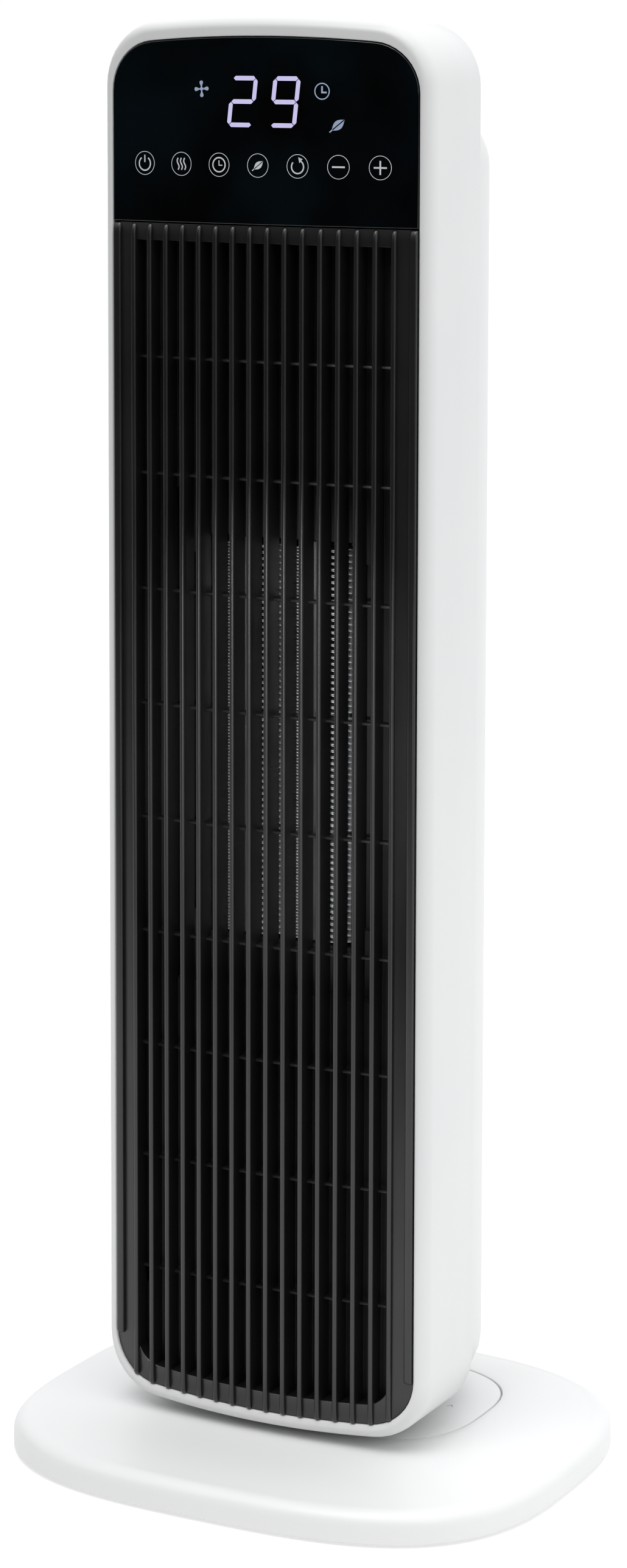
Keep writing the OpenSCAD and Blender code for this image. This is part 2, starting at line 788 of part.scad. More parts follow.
module stator_core() {
    color("#6d7074") on_tower() difference() {
        rod(0, fan_back, motor_bottom + 9, motor_top - 9, motor_r - cup_t - hold);
        rod(0, fan_back, motor_bottom, motor_top, motor_r - 13.6);
    }
}

module stator_coils() {
    color("#b5642a") on_tower() for (z = [motor_bottom + 3, motor_top - 9]) difference() {
        rod(0, fan_back, z, z + 6, motor_r - 3);
        rod(0, fan_back, z - 1, z + 7, motor_r - 12.5);
    }
}

// One end cover of the fan motor: a cup with a bearing seat
module motor_cup(z0, z1) {
    base = z0 < z1 ? z0 : z0 - cup_t;
    low = min(z0, z1);
    high = max(z0, z1);
    difference() {
        rod(0, fan_back, low, high, motor_r);
        difference() {
            rod(0, fan_back, low - 1, high + 1, motor_r - cup_t);
            rod(0, fan_back, base, base + cup_t, motor_r);
        }
        rod(0, fan_back, low - 1, high + 1, bearing_r + hold);
    }
}

module motor_lower_cover() {
    color("#9a9da1") on_tower() motor_cup(motor_bottom, (motor_bottom + motor_top) / 2);
}

module motor_upper_cover() {
    color("#9a9da1") on_tower() motor_cup(motor_top, (motor_bottom + motor_top) / 2);
}

module motor_bearings() {
    color("#a77a3c") on_tower() for (z = [motor_bottom, motor_top - 5]) difference() {
        rod(0, fan_back, z, z + 5, bearing_r);
        rod(0, fan_back, z - 1, z + 6, shaft_r + run);
    }
}

module motor_rubbers() {
    color("#111111") on_tower() for (a = [30, 150, 270])
        rod(mount_r * cos(a), fan_back + mount_r * sin(a), motor_top, outlet_z - duct_wall, 4);
}

module power_board() {
    color("#1d4d2b") on_tower() block([-board_w / 2, board_back, board_z],
        [board_w / 2, board_back + board_t, board_z + board_h]);
}

module relays() {
    color("#20211f") on_tower() for (k = [-1:1])
        block([k * 22 - 8, parts_y, board_z + 58], [k * 22 + 8, parts_y + 15, board_z + 78]);
}

module filter_capacitor() {
    color("#caa21c") on_tower() block([-36, parts_y, board_z + 12], [-12, parts_y + 12, board_z + 26]);
}

module heat_sink() {
    color("#b4b7ba") on_tower() {
        block([8, parts_y, board_z + 14], [11, parts_y + 18, board_z + 44]);
        for (k = [0:4])
            block([11, parts_y + 1 + 4 * k, board_z + 14], [24, parts_y + 2 + 4 * k, board_z + 44]);
    }
}

module terminal_block() {
    color("#e8e4da") on_tower() block([-30, parts_y, board_z + 34], [-6, parts_y + 11, board_z + 46]);
}

module swing_motor() {
    color("#c4c6c8") on_tower() {
        difference() {
            union() {
                rod(pinion_x, axis_back, bracket_z + bracket_t, bracket_z + 21, swing_r);
                rod(pinion_x, axis_back, gear_top + gap, bracket_z + bracket_t, 4);
            }
            rod(pinion_x, axis_back, gear_top, bracket_z + 12, axle_r + run);
        }
    }
}

module swing_bracket() {
    post = [for (a = [-20, 20]) [(table_r + 3) * cos(a), axis_back + (table_r + 3) * sin(a)]];
    color("#2d2f31") on_tower() difference() {
        union() {
            block([pinion_x - 12, axis_back - 21, bracket_z],
                [pinion_x + 13, axis_back + 21, bracket_z + bracket_t]);
            for (p = post)
                rod(p[0], p[1], pad_top + flange_t, bracket_z, 3.5);
        }
        rod(pinion_x, axis_back, bracket_z - 1, bracket_z + 3, 4.5);
    }
}

module pinion() {
    color("#e9e6dc") on_tower() {
        translate([pinion_x, axis_back, gear_bottom]) rotate([0, 0, 180 / pinion_teeth + 180])
            linear_extrude(gear_w) polygon(gear_points(pinion_teeth));
        rod(pinion_x, axis_back, gear_bottom, bracket_z + 11.5, axle_r);
    }
}

module gear_screw_hole(a, top) {
    rod(gear_screw_r * cos(a), axis_back + gear_screw_r * sin(a), gear_bottom - 9, top, screw_r + slip);
}

module foot_gear() {
    color("#e9e6dc") on_tower() difference() {
        translate([0, axis_back, gear_bottom]) linear_extrude(gear_w) polygon(gear_points(gear_teeth));
        rod(0, axis_back, gear_bottom - 1, gear_top + 1, post_bore);
        for (a = [60:120:300])
            gear_screw_hole(a, gear_top + 1);
    }
}

module gear_screws() {
    color("#9a9da1") on_tower() for (a = [60:120:300]) {
        rod(gear_screw_r * cos(a), axis_back + gear_screw_r * sin(a), gear_bottom - 8, gear_top, screw_r);
        rod(gear_screw_r * cos(a), axis_back + gear_screw_r * sin(a), gear_top, gear_top + head_t, head_r);
    }
}

module turntable() {
    color("#e9eaea") on_tower() difference() {
        union() {
            rod(0, axis_back, tower_bottom + gap, pad_top, table_r);
            rod(0, axis_back, pad_top, pad_top + flange_t, flange_r);
            rod(0, axis_back, pad_top, collar_top, post_r + 4);
        }
        rod(0, axis_back, tower_bottom - 1, collar_top + 1, post_r + run);
        for (a = [30:60:330])
            rod(table_screw_r * cos(a), axis_back + table_screw_r * sin(a), pad_top - 1,
                pad_top + flange_t + 1, screw_r + slip);
    }
}

module turntable_screws() {
    color("#9a9da1") on_tower() for (a = [30:60:330]) {
        x = table_screw_r * cos(a);
        y = axis_back + table_screw_r * sin(a);
        rod(x, y, pad_top - 2.4, pad_top + flange_t, screw_r);
        rod(x, y, pad_top + flange_t, pad_top + flange_t + head_t, head_r);
    }
}

module glide_ring() {
    color("#f1f0ea") on_tower() difference() {
        rod(0, axis_back, base_h, tower_bottom + gap - 0.1, post_r + 14);
        rod(0, axis_back, base_h - 1, tower_bottom + 1, post_r + 4);
    }
}

module foot_plate() {
    color("white") on_tower() difference() {
        union() {
            translate([0, axis_back, 0])
                flat(base_h - plate_t, base_h) polygon(soft_square(plate_a, plate_b));
            rod(0, axis_back, post_foot, gear_bottom, post_r);
            for (x = [-1, 1] * foot_screw_x, y = [-1, 1] * foot_screw_y)
                rod(x, axis_back + y, post_foot, base_h - plate_t + 0.5, foot_boss_r);
        }
        rod(0, axis_back, 0, gear_top, post_bore);
        for (x = [-1, 1] * foot_screw_x, y = [-1, 1] * foot_screw_y)
            rod(x, axis_back + y, post_foot - 1, base_h - 2, screw_r + slip);
        for (a = [60:120:300])
            gear_screw_hole(a, gear_bottom + 1);
    }
}

// A screw driven up from under the base
module base_screw(x, y, tip) {
    rod(x, y, pad_z, tip, screw_r);
    rod(x, y, pad_z - head_t, pad_z, head_r);
}

module foot_screws() {
    color("#9a9da1") on_tower() for (x = [-1, 1] * foot_screw_x, y = [-1, 1] * foot_screw_y)
        base_screw(x, axis_back + y, base_h - 2.5);
}

// Solid form of the base's cover, drawn in by inset
module cover_form(inset) {
    a = base_w / 2 - inset;
    b = base_d / 2 - inset;
    top = base_h - inset;
    middle = axis_back + front_y;
    hull() {
        flat(inset > 0 ? 0 : foot_h, base_rim) polygon(soft_square(a, b, 64));
        for (step = [[0.15, 0.5], [0.6, 0.87], [1.4, 1]])
            flat(base_rim, base_rim + shoulder_r * step[1] - (step[1] > 0.5 ? inset / 2 : 0))
                polygon(soft_square(a - shoulder_r * step[0], b - shoulder_r * step[0], 64));
        translate([0, middle, 0]) flat(base_rim, top) polygon(soft_square(plate_a + 2, plate_b + 2, 64));
    }
}

module base_cover() {
    color("white") difference() {
        union() {
            difference() {
                cover_form(0);
                cover_form(base_wall);
            }
            translate([0, axis_back + front_y, 0]) flat(base_h - plate_t - 2.5, base_h - 1)
                polygon(soft_square(plate_a + 6, plate_b + 6));
            intersection() {
                cover_form(0);
                for (p = base_screw_spots)
                    rod(p[0], p[1], pad_z, base_h, foot_boss_r);
            }
        }
        translate([0, axis_back + front_y, 0]) {
            flat(base_h - plate_t - 0.01, base_h + 1)
                polygon(soft_square(plate_a + cover_gap, plate_b + cover_gap));
            flat(base_h - 10, base_h + 1) polygon(soft_square(plate_a - ledge, plate_b - ledge));
        }
        for (p = base_screw_spots)
            rod(p[0], p[1], pad_z - 1, post_foot, screw_r + slip);
    }
}

module base_bottom() {
    a = base_w / 2 - base_wall - seat;
    b = base_d / 2 - base_wall - seat;
    mid = axis_back + front_y;
    color("#f2f2f2") difference() {
        union() {
            flat(foot_h, floor_top) polygon(soft_square(a, b));
            for (p = base_screw_spots)
                rod(p[0], p[1], foot_h, pad_z, foot_boss_r);
            for (x = [-1, 1] * foot_screw_x, y = [-1, 1] * foot_screw_y)
                rod(x, mid + y, foot_h, post_foot, foot_boss_r);
            rod(0, tip_y, foot_h, foot_h + 3.5, tip_r + 3);
            for (x = [-1, 1] * (tip_r + 4.2))
                block([x - 1, tip_y - 3.2, foot_h], [x + 1, tip_y + 3.2, foot_h + 9.5]);
            rod(0, mid, foot_h, post_foot - seat, post_r);
        }
        for (p = base_screw_spots) {
            rod(p[0], p[1], 0, pad_z, head_r + gap);
            rod(p[0], p[1], 0, pad_z + 1, screw_r + seat);
        }
        for (x = [-1, 1] * foot_screw_x, y = [-1, 1] * foot_screw_y) {
            rod(x, mid + y, 0, pad_z, head_r + gap);
            rod(x, mid + y, 0, post_foot + 1, screw_r + seat);
        }
        rod(0, tip_y, 0, foot_h + 5, tip_r + gap);
        rod(0, mid, floor_top, post_foot, post_bore);
    }
}

module base_screws() {
    color("#9a9da1") for (p = base_screw_spots)
        base_screw(p[0], p[1], post_foot - 0.5);
}

module rubber_feet() {
    color("#2b2b2b") for (a = foot_spots) {
        c = cos(a);
        s = sin(a);
        x = (base_w / 2 - 18) * sign(c) * pow(abs(c), 2 / squareness);
        y = (base_d / 2 - 18) * sign(s) * pow(abs(s), 2 / squareness);
        rod(x, y, 0, foot_h, foot_r);
    }
}

module tip_switch() {
    color("#202020") block([-10, tip_y - 3.2, foot_h + 9.5], [10, tip_y + 3.2, foot_h + 13]);
}

module tip_plunger() {
    color("#d8d8d8") {
        rod(0, tip_y, 0, foot_h + 9.2, tip_r);
        rod(0, tip_y, foot_h + 3.5 + tip_travel + gap, foot_h + 9.2, tip_r + 1.5);
    }
}

module rocker_frame() {
    color("#121212") on_tower() difference() {
        union() {
            block([-rocker_a - 2, tower_d, rocker_z - rocker_b - 2],
                [rocker_a + 2, tower_d + 2, rocker_z + rocker_b + 2]);
            block([-rocker_a + seat, tower_d - 14, rocker_z - rocker_b + seat],
                [rocker_a - seat, tower_d, rocker_z + rocker_b - seat]);
        }
        block([-rocker_a + 2, tower_d - 12, rocker_z - rocker_b + 2],
            [rocker_a - 2, tower_d + 3, rocker_z + rocker_b - 2]);
        rocker_axle(rocker_a - 0.8, rocker_pin + run);
    }
}

// The rod that the rocker turns about
module rocker_axle(a, r) {
    translate([-a, rocker_y, rocker_z]) rotate([0, 90, 0]) cylinder(h = 2 * a, r = r);
}

module rocker() {
    a = rocker_a - 2 - gap;
    b = rocker_b - 2 - 1;
    color("#1a1a1a") on_tower() {
        translate([0, rocker_y, rocker_z]) rotate([rocker_tilt, 0, 0]) side_shape(a)
            polygon([[5.8, -b], [4, 0], [5.8, b], [0, b - 1.5], [-4, 3], [-4, -3], [0, 1.5 - b]]);
        rocker_axle(rocker_a - 1, rocker_pin);
    }
}

module cord_bush() {
    color("#e4e4e4") on_tower() difference() {
        union() {
            rod_y(0, inlet_z, tower_d - 8, tower_d + 1, inlet_r + 3 - seat / 2);
            rod_y(0, inlet_z, tower_d + 0.3, tower_d + 3, inlet_r + 5);
        }
        rod_y(0, inlet_z, tower_d - 10, tower_d + 5, inlet_r);
    }
}

// A sheet that follows the rear housing's back, between two depths below its surface
module back_sheet(outer, inner, a, z0, z1) {
    intersection() {
        upright(intake_front, tower_d + 1) translate([-a, z0]) square([2 * a, z1 - z0]);
        difference() {
            flat(z0, z1) polygon(back_oval(rear_a - outer, rear_b - outer, 48));
            flat(z0 - 1, z1 + 1) polygon(back_oval(rear_a - inner, rear_b - inner, 48));
        }
    }
}

module intake_grille() {
    rows = floor((intake_top - intake_bottom - 16) / 6);
    color("white") on_tower() difference() {
        back_sheet(0, wall, intake_a - gap, intake_bottom + gap, intake_top - gap);
        for (k = [0:rows - 1], s = [-1:1]) {
            z = intake_bottom + 8 + 6 * k + 1.5;
            block([s * 26 - 11.5, intake_front, z], [s * 26 + 11.5, tower_d + 1, z + 3]);
        }
    }
}

module dust_filter() {
    color("#8a8d90") on_tower()
        back_sheet(wall + 0.1, wall + 1.1, intake_a - 2, intake_bottom + 4, intake_top - 4);
}

module housing_screws() {
    color("#9a9da1") on_tower() for (x = [-1, 1] * housing_screw_x, z = housing_screw_z) {
        rod_y(x, z, shell_d - 14, shell_d + 5, screw_r);
        rod_y(x, z, shell_d + 5, shell_d + 7.5, head_r);
    }
}

front_shell();
rear_housing();
front_grille();
control_glass();
display_carrier();
display_module();
display_board();
touch_springs();
ir_receiver();
buzzer();
air_duct();
heater_frame();
heater_tubes();
heater_fins();
ptc_chips();
heater_terminals();
thermal_cutout();
thermal_fuse();
room_sensor();
scroll_housing();
vortex_tongue();
impeller();
upper_bearing();
bearing_rubber();
motor_shaft();
motor_rotor();
stator_core();
stator_coils();
motor_lower_cover();
motor_upper_cover();
motor_bearings();
motor_rubbers();
power_board();
relays();
filter_capacitor();
heat_sink();
terminal_block();
swing_motor();
swing_bracket();
pinion();
foot_gear();
gear_screws();
turntable();
turntable_screws();
glide_ring();
foot_plate();
foot_screws();
base_cover();
base_bottom();
base_screws();
rubber_feet();
tip_switch();
tip_plunger();
rocker_frame();
rocker();
cord_bush();
intake_grille();
dust_filter();
housing_screws();
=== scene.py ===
import math

import bmesh
import bpy
from mathutils import Matrix, Vector


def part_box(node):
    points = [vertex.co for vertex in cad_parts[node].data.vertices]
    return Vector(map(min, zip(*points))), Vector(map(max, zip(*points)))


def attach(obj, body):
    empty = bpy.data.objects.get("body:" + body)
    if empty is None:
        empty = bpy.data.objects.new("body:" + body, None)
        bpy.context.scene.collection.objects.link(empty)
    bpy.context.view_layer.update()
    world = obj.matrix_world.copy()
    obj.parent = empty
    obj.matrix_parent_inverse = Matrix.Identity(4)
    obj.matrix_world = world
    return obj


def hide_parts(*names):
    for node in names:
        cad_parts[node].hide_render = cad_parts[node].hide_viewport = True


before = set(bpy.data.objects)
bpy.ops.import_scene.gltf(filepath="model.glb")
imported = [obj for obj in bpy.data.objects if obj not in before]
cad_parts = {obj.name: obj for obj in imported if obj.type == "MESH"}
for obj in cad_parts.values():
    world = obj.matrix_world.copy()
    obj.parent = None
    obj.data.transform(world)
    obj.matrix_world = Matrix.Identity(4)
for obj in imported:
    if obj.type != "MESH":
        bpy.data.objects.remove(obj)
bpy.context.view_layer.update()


# ---- Studio ----
# A pale seamless floor under a white sky, with softboxes round it and a spot that lights only the grille and
# what shows behind it. The backdrop is white all round, but the near side of the sky is dark for everything
# except the camera, like a product studio's black cards, so that the black glass stays black.
class Wire:
    """A value in a node tree that takes ordinary arithmetic."""

    def __init__(self, tree, socket):
        self.tree = tree
        self.socket = socket

    def node(self, kind, settings, inputs, output=0):
        made = self.tree.nodes.new(kind)
        for name, value in settings.items():
            setattr(made, name, value)
        for name, value in inputs.items():
            if isinstance(value, Wire):
                self.tree.links.new(value.socket, made.inputs[name])
            else:
                made.inputs[name].default_value = value
        return Wire(self.tree, made.outputs[output])

    def maths(self, operation, *values):
        return self.node("ShaderNodeMath", {"operation": operation}, dict(enumerate(values)))

    def __add__(self, other):
        return self.maths("ADD", self, other)

    def __radd__(self, other):
        return self.maths("ADD", other, self)

    def __sub__(self, other):
        return self.maths("SUBTRACT", self, other)

    def __rsub__(self, other):
        return self.maths("SUBTRACT", other, self)

    def __mul__(self, other):
        return self.maths("MULTIPLY", self, other)

    def __rmul__(self, other):
        return self.maths("MULTIPLY", other, self)

    def __truediv__(self, other):
        return self.maths("DIVIDE", self, other)

    def __rtruediv__(self, other):
        return self.maths("DIVIDE", other, self)

    def step(self, low, high):
        """0 below low, 1 above high and smooth between them."""
        return self.node(
            "ShaderNodeMapRange",
            {"interpolation_type": "SMOOTHSTEP"},
            {"Value": self, "From Min": low, "From Max": high},
        )

    def mix(self, low, high):
        """The colour low where this value is 0, and high where it is 1."""
        return self.node("ShaderNodeMix", {"data_type": "RGBA"}, {0: self, 6: low, 7: high}, 2)

    def noise(self, scale, detail=2.0):
        return self.node("ShaderNodeTexNoise", {}, {"Vector": self, "Scale": scale, "Detail": detail})


def rgb(r, g, b):
    return (r, g, b, 1.0)


def finish(name, dark, light, patch=18.0, rough=(0.4, 0.5), grain=900.0, bump=0.0, **plain):
    """A moulded or metal finish: two close colours in soft patches, a roughness that varies and a fine grain.
    The plain values go straight to the shader's sockets."""
    made = bpy.data.materials.new(name)
    made.use_nodes = True
    tree = made.node_tree
    tree.nodes.clear()
    out = tree.nodes.new("ShaderNodeOutputMaterial")
    shader = tree.nodes.new("ShaderNodeBsdfPrincipled")
    tree.links.new(shader.outputs[0], out.inputs[0])
    where = Wire(tree, tree.nodes.new("ShaderNodeTexCoord").outputs["Object"])
    patches = where.noise(patch, 3.0)
    fine = where.noise(grain)
    colour = patches.step(0.3, 0.7).mix(rgb(*dark), rgb(*light))
    tree.links.new(colour.socket, shader.inputs["Base Color"])
    tree.links.new((rough[0] + (rough[1] - rough[0]) * fine).socket, shader.inputs["Roughness"])
    if bump:
        relief = where.node("ShaderNodeBump", {}, {"Height": fine, "Strength": bump, "Distance": 0.0002})
        tree.links.new(relief.socket, shader.inputs["Normal"])
    for socket, value in plain.items():
        shader.inputs[socket.replace("_", " ")].default_value = value
    return made


def studio():
    scene = bpy.context.scene
    world = bpy.data.worlds.new("studio_sky")
    scene.world = world
    world.use_nodes = True
    tree = world.node_tree
    sky = Wire(tree, tree.nodes.new("ShaderNodeTexCoord").outputs["Generated"])
    x, y, z = (sky.node("ShaderNodeSeparateXYZ", {}, {0: sky}, k) for k in range(3))
    far_side = (y + 0.3 * x).step(-0.15, 0.35)
    overhead = z.step(0.25, 0.8)
    seen_by_camera = sky.node("ShaderNodeLightPath", {}, {})
    white = sky.maths("MAXIMUM", sky.maths("MAXIMUM", far_side, overhead), seen_by_camera)
    colour = white.mix(rgb(0.012, 0.013, 0.015), rgb(0.98, 0.99, 1.0))
    tree.links.new(colour.socket, tree.nodes["Background"].inputs["Color"])
    tree.nodes["Background"].inputs["Strength"].default_value = 1.03
    scene.view_settings.view_transform = "Standard"

    side, near, far = 9.0, -0.75, 16.0
    mesh = bpy.data.meshes.new("floor")
    mesh.from_pydata([(-side, near, 0), (side, near, 0), (side, far, 0), (-side, far, 0)], [], [(0, 1, 2, 3)])
    floor = bpy.data.objects.new("floor", mesh)
    scene.collection.objects.link(floor)
    mesh.materials.append(
        finish(
            "floor_paper", (0.54, 0.54, 0.54), (0.56, 0.56, 0.56), 0.6, (0.85, 0.9), 40.0,
            Emission_Color=rgb(1.0, 1.0, 1.0), Emission_Strength=0.48,
        )
    )

    # Name, place, aim, size and watts of each softbox.
    softboxes = (
        ("key", (1.7, -1.3, 1.3), (0.0, 0.0, 0.35), 1.3, 7.0),
        ("side", (1.9, 0.9, 0.7), (0.05, 0.0, 0.3), 1.2, 1.5),
        ("fill", (-1.9, -1.3, 1.5), (0.0, 0.0, 0.3), 1.2, 2.0),
        ("front", (-0.2, -1.5, 2.6), (0.0, 0.0, 0.05), 1.2, 22.0),
    )
    for name, at, aim, size, watts in softboxes:
        light = bpy.data.lights.new(name, "AREA")
        light.size = size
        light.energy = watts
        lamp = bpy.data.objects.new(name, light)
        lamp.location = at
        lamp.rotation_euler = (Vector(aim) - Vector(at)).to_track_quat("-Z", "Y").to_euler()
        scene.collection.objects.link(lamp)

    light = bpy.data.lights.new("grille", "SPOT")
    light.energy = 50.0
    light.spot_size = math.radians(9.5)
    light.spot_blend = 0.5
    light.shadow_soft_size = 0.02
    lamp = bpy.data.objects.new("grille", light)
    lamp.location = (0.62, -1.26, 0.44)
    heater = Vector((-0.004, -0.03, 0.335))
    lamp.rotation_euler = (heater - lamp.location).to_track_quat("-Z", "Y").to_euler()
    lamp.scale = (0.62, 1.0, 1.0)
    scene.collection.objects.link(lamp)
    lit = bpy.data.collections.new("grille_lit")
    for node in (
        "heater_frame", "heater_tubes", "heater_fins", "heater_terminals", "ptc_chips", "thermal_cutout",
        "thermal_fuse", "air_duct", "scroll_housing", "vortex_tongue", "impeller",
    ):
        lit.objects.link(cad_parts[node])
    lamp.light_linking.receiver_collection = lit

    light = bpy.data.lights.new("overhead", "SUN")
    light.energy = 0.75
    light.angle = math.radians(40)
    sun = bpy.data.objects.new("overhead", light)
    sun.rotation_euler = (math.radians(8), math.radians(12), 0)
    scene.collection.objects.link(sun)

    lens = bpy.data.cameras.new("camera")
    lens.lens = 88.46
    lens.shift_x = 0.0017
    lens.shift_y = -0.2096
    camera = bpy.data.objects.new("camera", lens)
    turn = (
        Matrix.Rotation(math.radians(27.777), 4, "Z")
        @ Matrix.Rotation(math.radians(90 - 6.36), 4, "X")
        @ Matrix.Rotation(math.radians(0.136), 4, "Z")
    )
    camera.matrix_world = Matrix.Translation((0.80158, -1.52623, 0.6519)) @ turn
    scene.collection.objects.link(camera)
    scene.camera = camera


studio()


# ---- Front shell ----
# The white front half of the tower: a moulded ABS frame with a bowed face, a soft rounded front edge and an
# opening for the glass and the grille. It clips to the rear housing and six screws hold it from behind.
MM = 0.001
FRONT_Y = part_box("control_glass")[0][1] / MM
AXIS = 70.0
SHELL = {"a": 81.5, "low": 25.3, "top": 656.0, "bow": 700.0, "corner": 28.0}
SHELL_D = 54.0
REAR = {"a": 78.0, "b": 76.0, "low": 27.3, "top": 620.0}
FACE_R = 629.0
WALL = 2.5
TABLE_R = 46.2


def bow(x):
    """Depth of the bowed face at a distance x from the middle."""
    return FACE_R - math.sqrt(FACE_R * FACE_R - x * x)


def upper_half(a, top, crown, corner, n=10):
    """Right-to-left upper half of a bowed outline, as (x, z)."""
    rise = math.sqrt((crown - corner) ** 2 - (a - corner) ** 2)
    cz = top - crown + rise
    turn = math.atan2(rise, a - corner)
    points = [
        (a - corner + corner * math.cos(turn * i / n), cz + corner * math.sin(turn * i / n))
        for i in range(n + 1)
    ]
    for i in range(1, 2 * n):
        t = turn + (math.pi - 2 * turn) * i / (2 * n)
        points.append((crown * math.cos(t), top - crown + crown * math.sin(t)))
    return points + [(-x, z) for x, z in reversed(points[: n + 1])]


def outline(a, low, top, crown, corner, n=10):
    """Whole outline, bowed at the top and at the bottom."""
    half = upper_half(a, top, crown, corner, n)
    return half + [(x, low + top - z) for x, z in reversed(half)]


def shell_ring(inset, depth, bowed=1.0, **shape):
    """The shell's outline drawn in by inset, at a depth behind the bowed face. Bowed is 0 for a flat ring."""
    s = {**SHELL, **shape}
    ring = outline(
        s["a"] - inset, s["low"] + inset, s["top"] - inset, s["bow"] - inset, s["corner"] - inset
    )
    return [(x, FRONT_Y + depth + bowed * bow(x), z) for x, z in ring]


def loft(rings, closed=True):
    """Vertices and faces of a skin over rings of equal length. Closed joins the last ring to the first."""
    n = len(rings[0])
    verts = [p for ring in rings for p in ring]
    faces = []
    for i in range(len(rings) if closed else len(rings) - 1):
        a, b = i * n, (i + 1) % len(rings) * n
        faces += [(a + j, a + (j + 1) % n, b + (j + 1) % n, b + j) for j in range(n)]
    return verts, faces


def mesh_object(name, verts, faces, material=None, angle=35):
    """An object with smooth shading, and sharp where faces meet at more than the angle."""
    mesh = bpy.data.meshes.new(name)
    mesh.from_pydata([Vector(v) * MM for v in verts], [], faces)
    work = bmesh.new()
    work.from_mesh(mesh)
    bmesh.ops.remove_doubles(work, verts=work.verts, dist=0.2e-5)
    bmesh.ops.recalc_face_normals(work, faces=work.faces)
    work.to_mesh(mesh)
    work.free()
    mesh.shade_smooth()
    mesh.set_sharp_from_angle(angle=math.radians(angle))
    if material:
        mesh.materials.append(material)
    made = bpy.data.objects.new(name, mesh)
    bpy.context.scene.collection.objects.link(made)
    return made


def join_parts(parts):
    """Vertices and faces of several skins put together."""
    verts, faces = [], []
    for v, f in parts:
        faces += [tuple(i + len(verts) for i in face) for face in f]
        verts += v
    return verts, faces


def tube_rings(centre, axis, profile, n=48):
    """Rings of (radius, position) about an axis through centre: 0 is X, 1 is Y and 2 is Z."""
    rings = []
    for radius, along in profile:
        ring = []
        for k in range(n):
            t = math.tau * k / n
            c, s = math.cos(t) * radius, math.sin(t) * radius
            point = [(along, c, s), (s, along, c), (c, s, along)][axis]
            ring.append(tuple(p + q for p, q in zip(centre, point)))
        rings.append(ring)
    return rings


def solid(rings):
    """A skin over rings with flat ends."""
    verts, faces = loft(rings, False)
    n = len(rings[0])
    return verts, faces + [tuple(range(n)), tuple(range(len(verts) - n, len(verts)))]


def take_away(target, tool):
    """Cuts the tool out of the target and removes the tool."""
    change = target.modifiers.new("cut", "BOOLEAN")
    change.solver = "EXACT"
    change.object = tool
    bpy.context.view_layer.update()
    graph = bpy.context.evaluated_depsgraph_get()
    target_mesh = bpy.data.meshes.new_from_object(target.evaluated_get(graph))
    target.modifiers.clear()
    target.data = target_mesh
    bpy.data.objects.remove(tool)


def cut(target, parts):
    """Takes solids away from the target, one after the other."""
    for k, (verts, faces) in enumerate(parts):
        take_away(target, mesh_object(f"{target.name}_tool_{k}", verts, faces))
    target.data.set_sharp_from_angle(angle=math.radians(35))
    return target


def table_hole():
    """The round hole for the turntable, through the bottom of both halves of the tower."""
    return solid(tube_rings((0, FRONT_Y + AXIS, 0), 2, [(TABLE_R, 15.0), (TABLE_R, 60.0)], 96))


def place(made, body, slot, *nodes):
    """Puts a piece on its body and hides the nodes that it stands for; its slot is not used."""
    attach(made, body)
    if nodes:
        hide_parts(*nodes)
    return made


white_abs = finish(
    "white_abs", (0.70, 0.70, 0.703), (0.72, 0.72, 0.72), 9.0, (0.30, 0.40), 1400.0, 0.05,
    IOR=1.5,
)


def front_shell():
    rim, opening_low, opening_top = 5.8, 32.3, 647.4
    mouth = {"low": opening_low - rim, "top": opening_top + rim}
    rings = [
        shell_ring(rim, 12.0, 0.0, **mouth),
        shell_ring(rim, 6.0, 0.5, **mouth),
        shell_ring(rim, 1.3, **mouth),
        shell_ring(rim - 0.12, 0.6, **mouth),
        shell_ring(rim - 0.42, 0.2, **mouth),
    ]
    edge_steps, edge_wide, edge_deep = 12, 4.9, 7.0
    for k in range(edge_steps + 1):
        t = math.pi / 2 * k / edge_steps
        rings.append(shell_ring(edge_wide * (1 - math.sin(t)), edge_deep * (1 - math.cos(t))))
    rings += [shell_ring(0, d, b) for d, b in ((16.0, 0.8), (32.0, 0.3), (SHELL_D - 0.8, 0.0))]
    rings += [shell_ring(0.15, SHELL_D - 0.3, 0), shell_ring(0.6, SHELL_D, 0)]
    joint = {"a": REAR["a"], "low": REAR["low"], "top": REAR["top"]}
    rings += [shell_ring(WALL, d, 0, **joint) for d in (SHELL_D, SHELL_D - WALL)]
    rings += [shell_ring(WALL, SHELL_D - WALL, 0), shell_ring(WALL, 12.0, 0)]
    return cut(mesh_object("front_shell_skin", *loft(rings), white_abs), [table_hole()])


place(front_shell(), "tower", "white_shell", "front_shell")


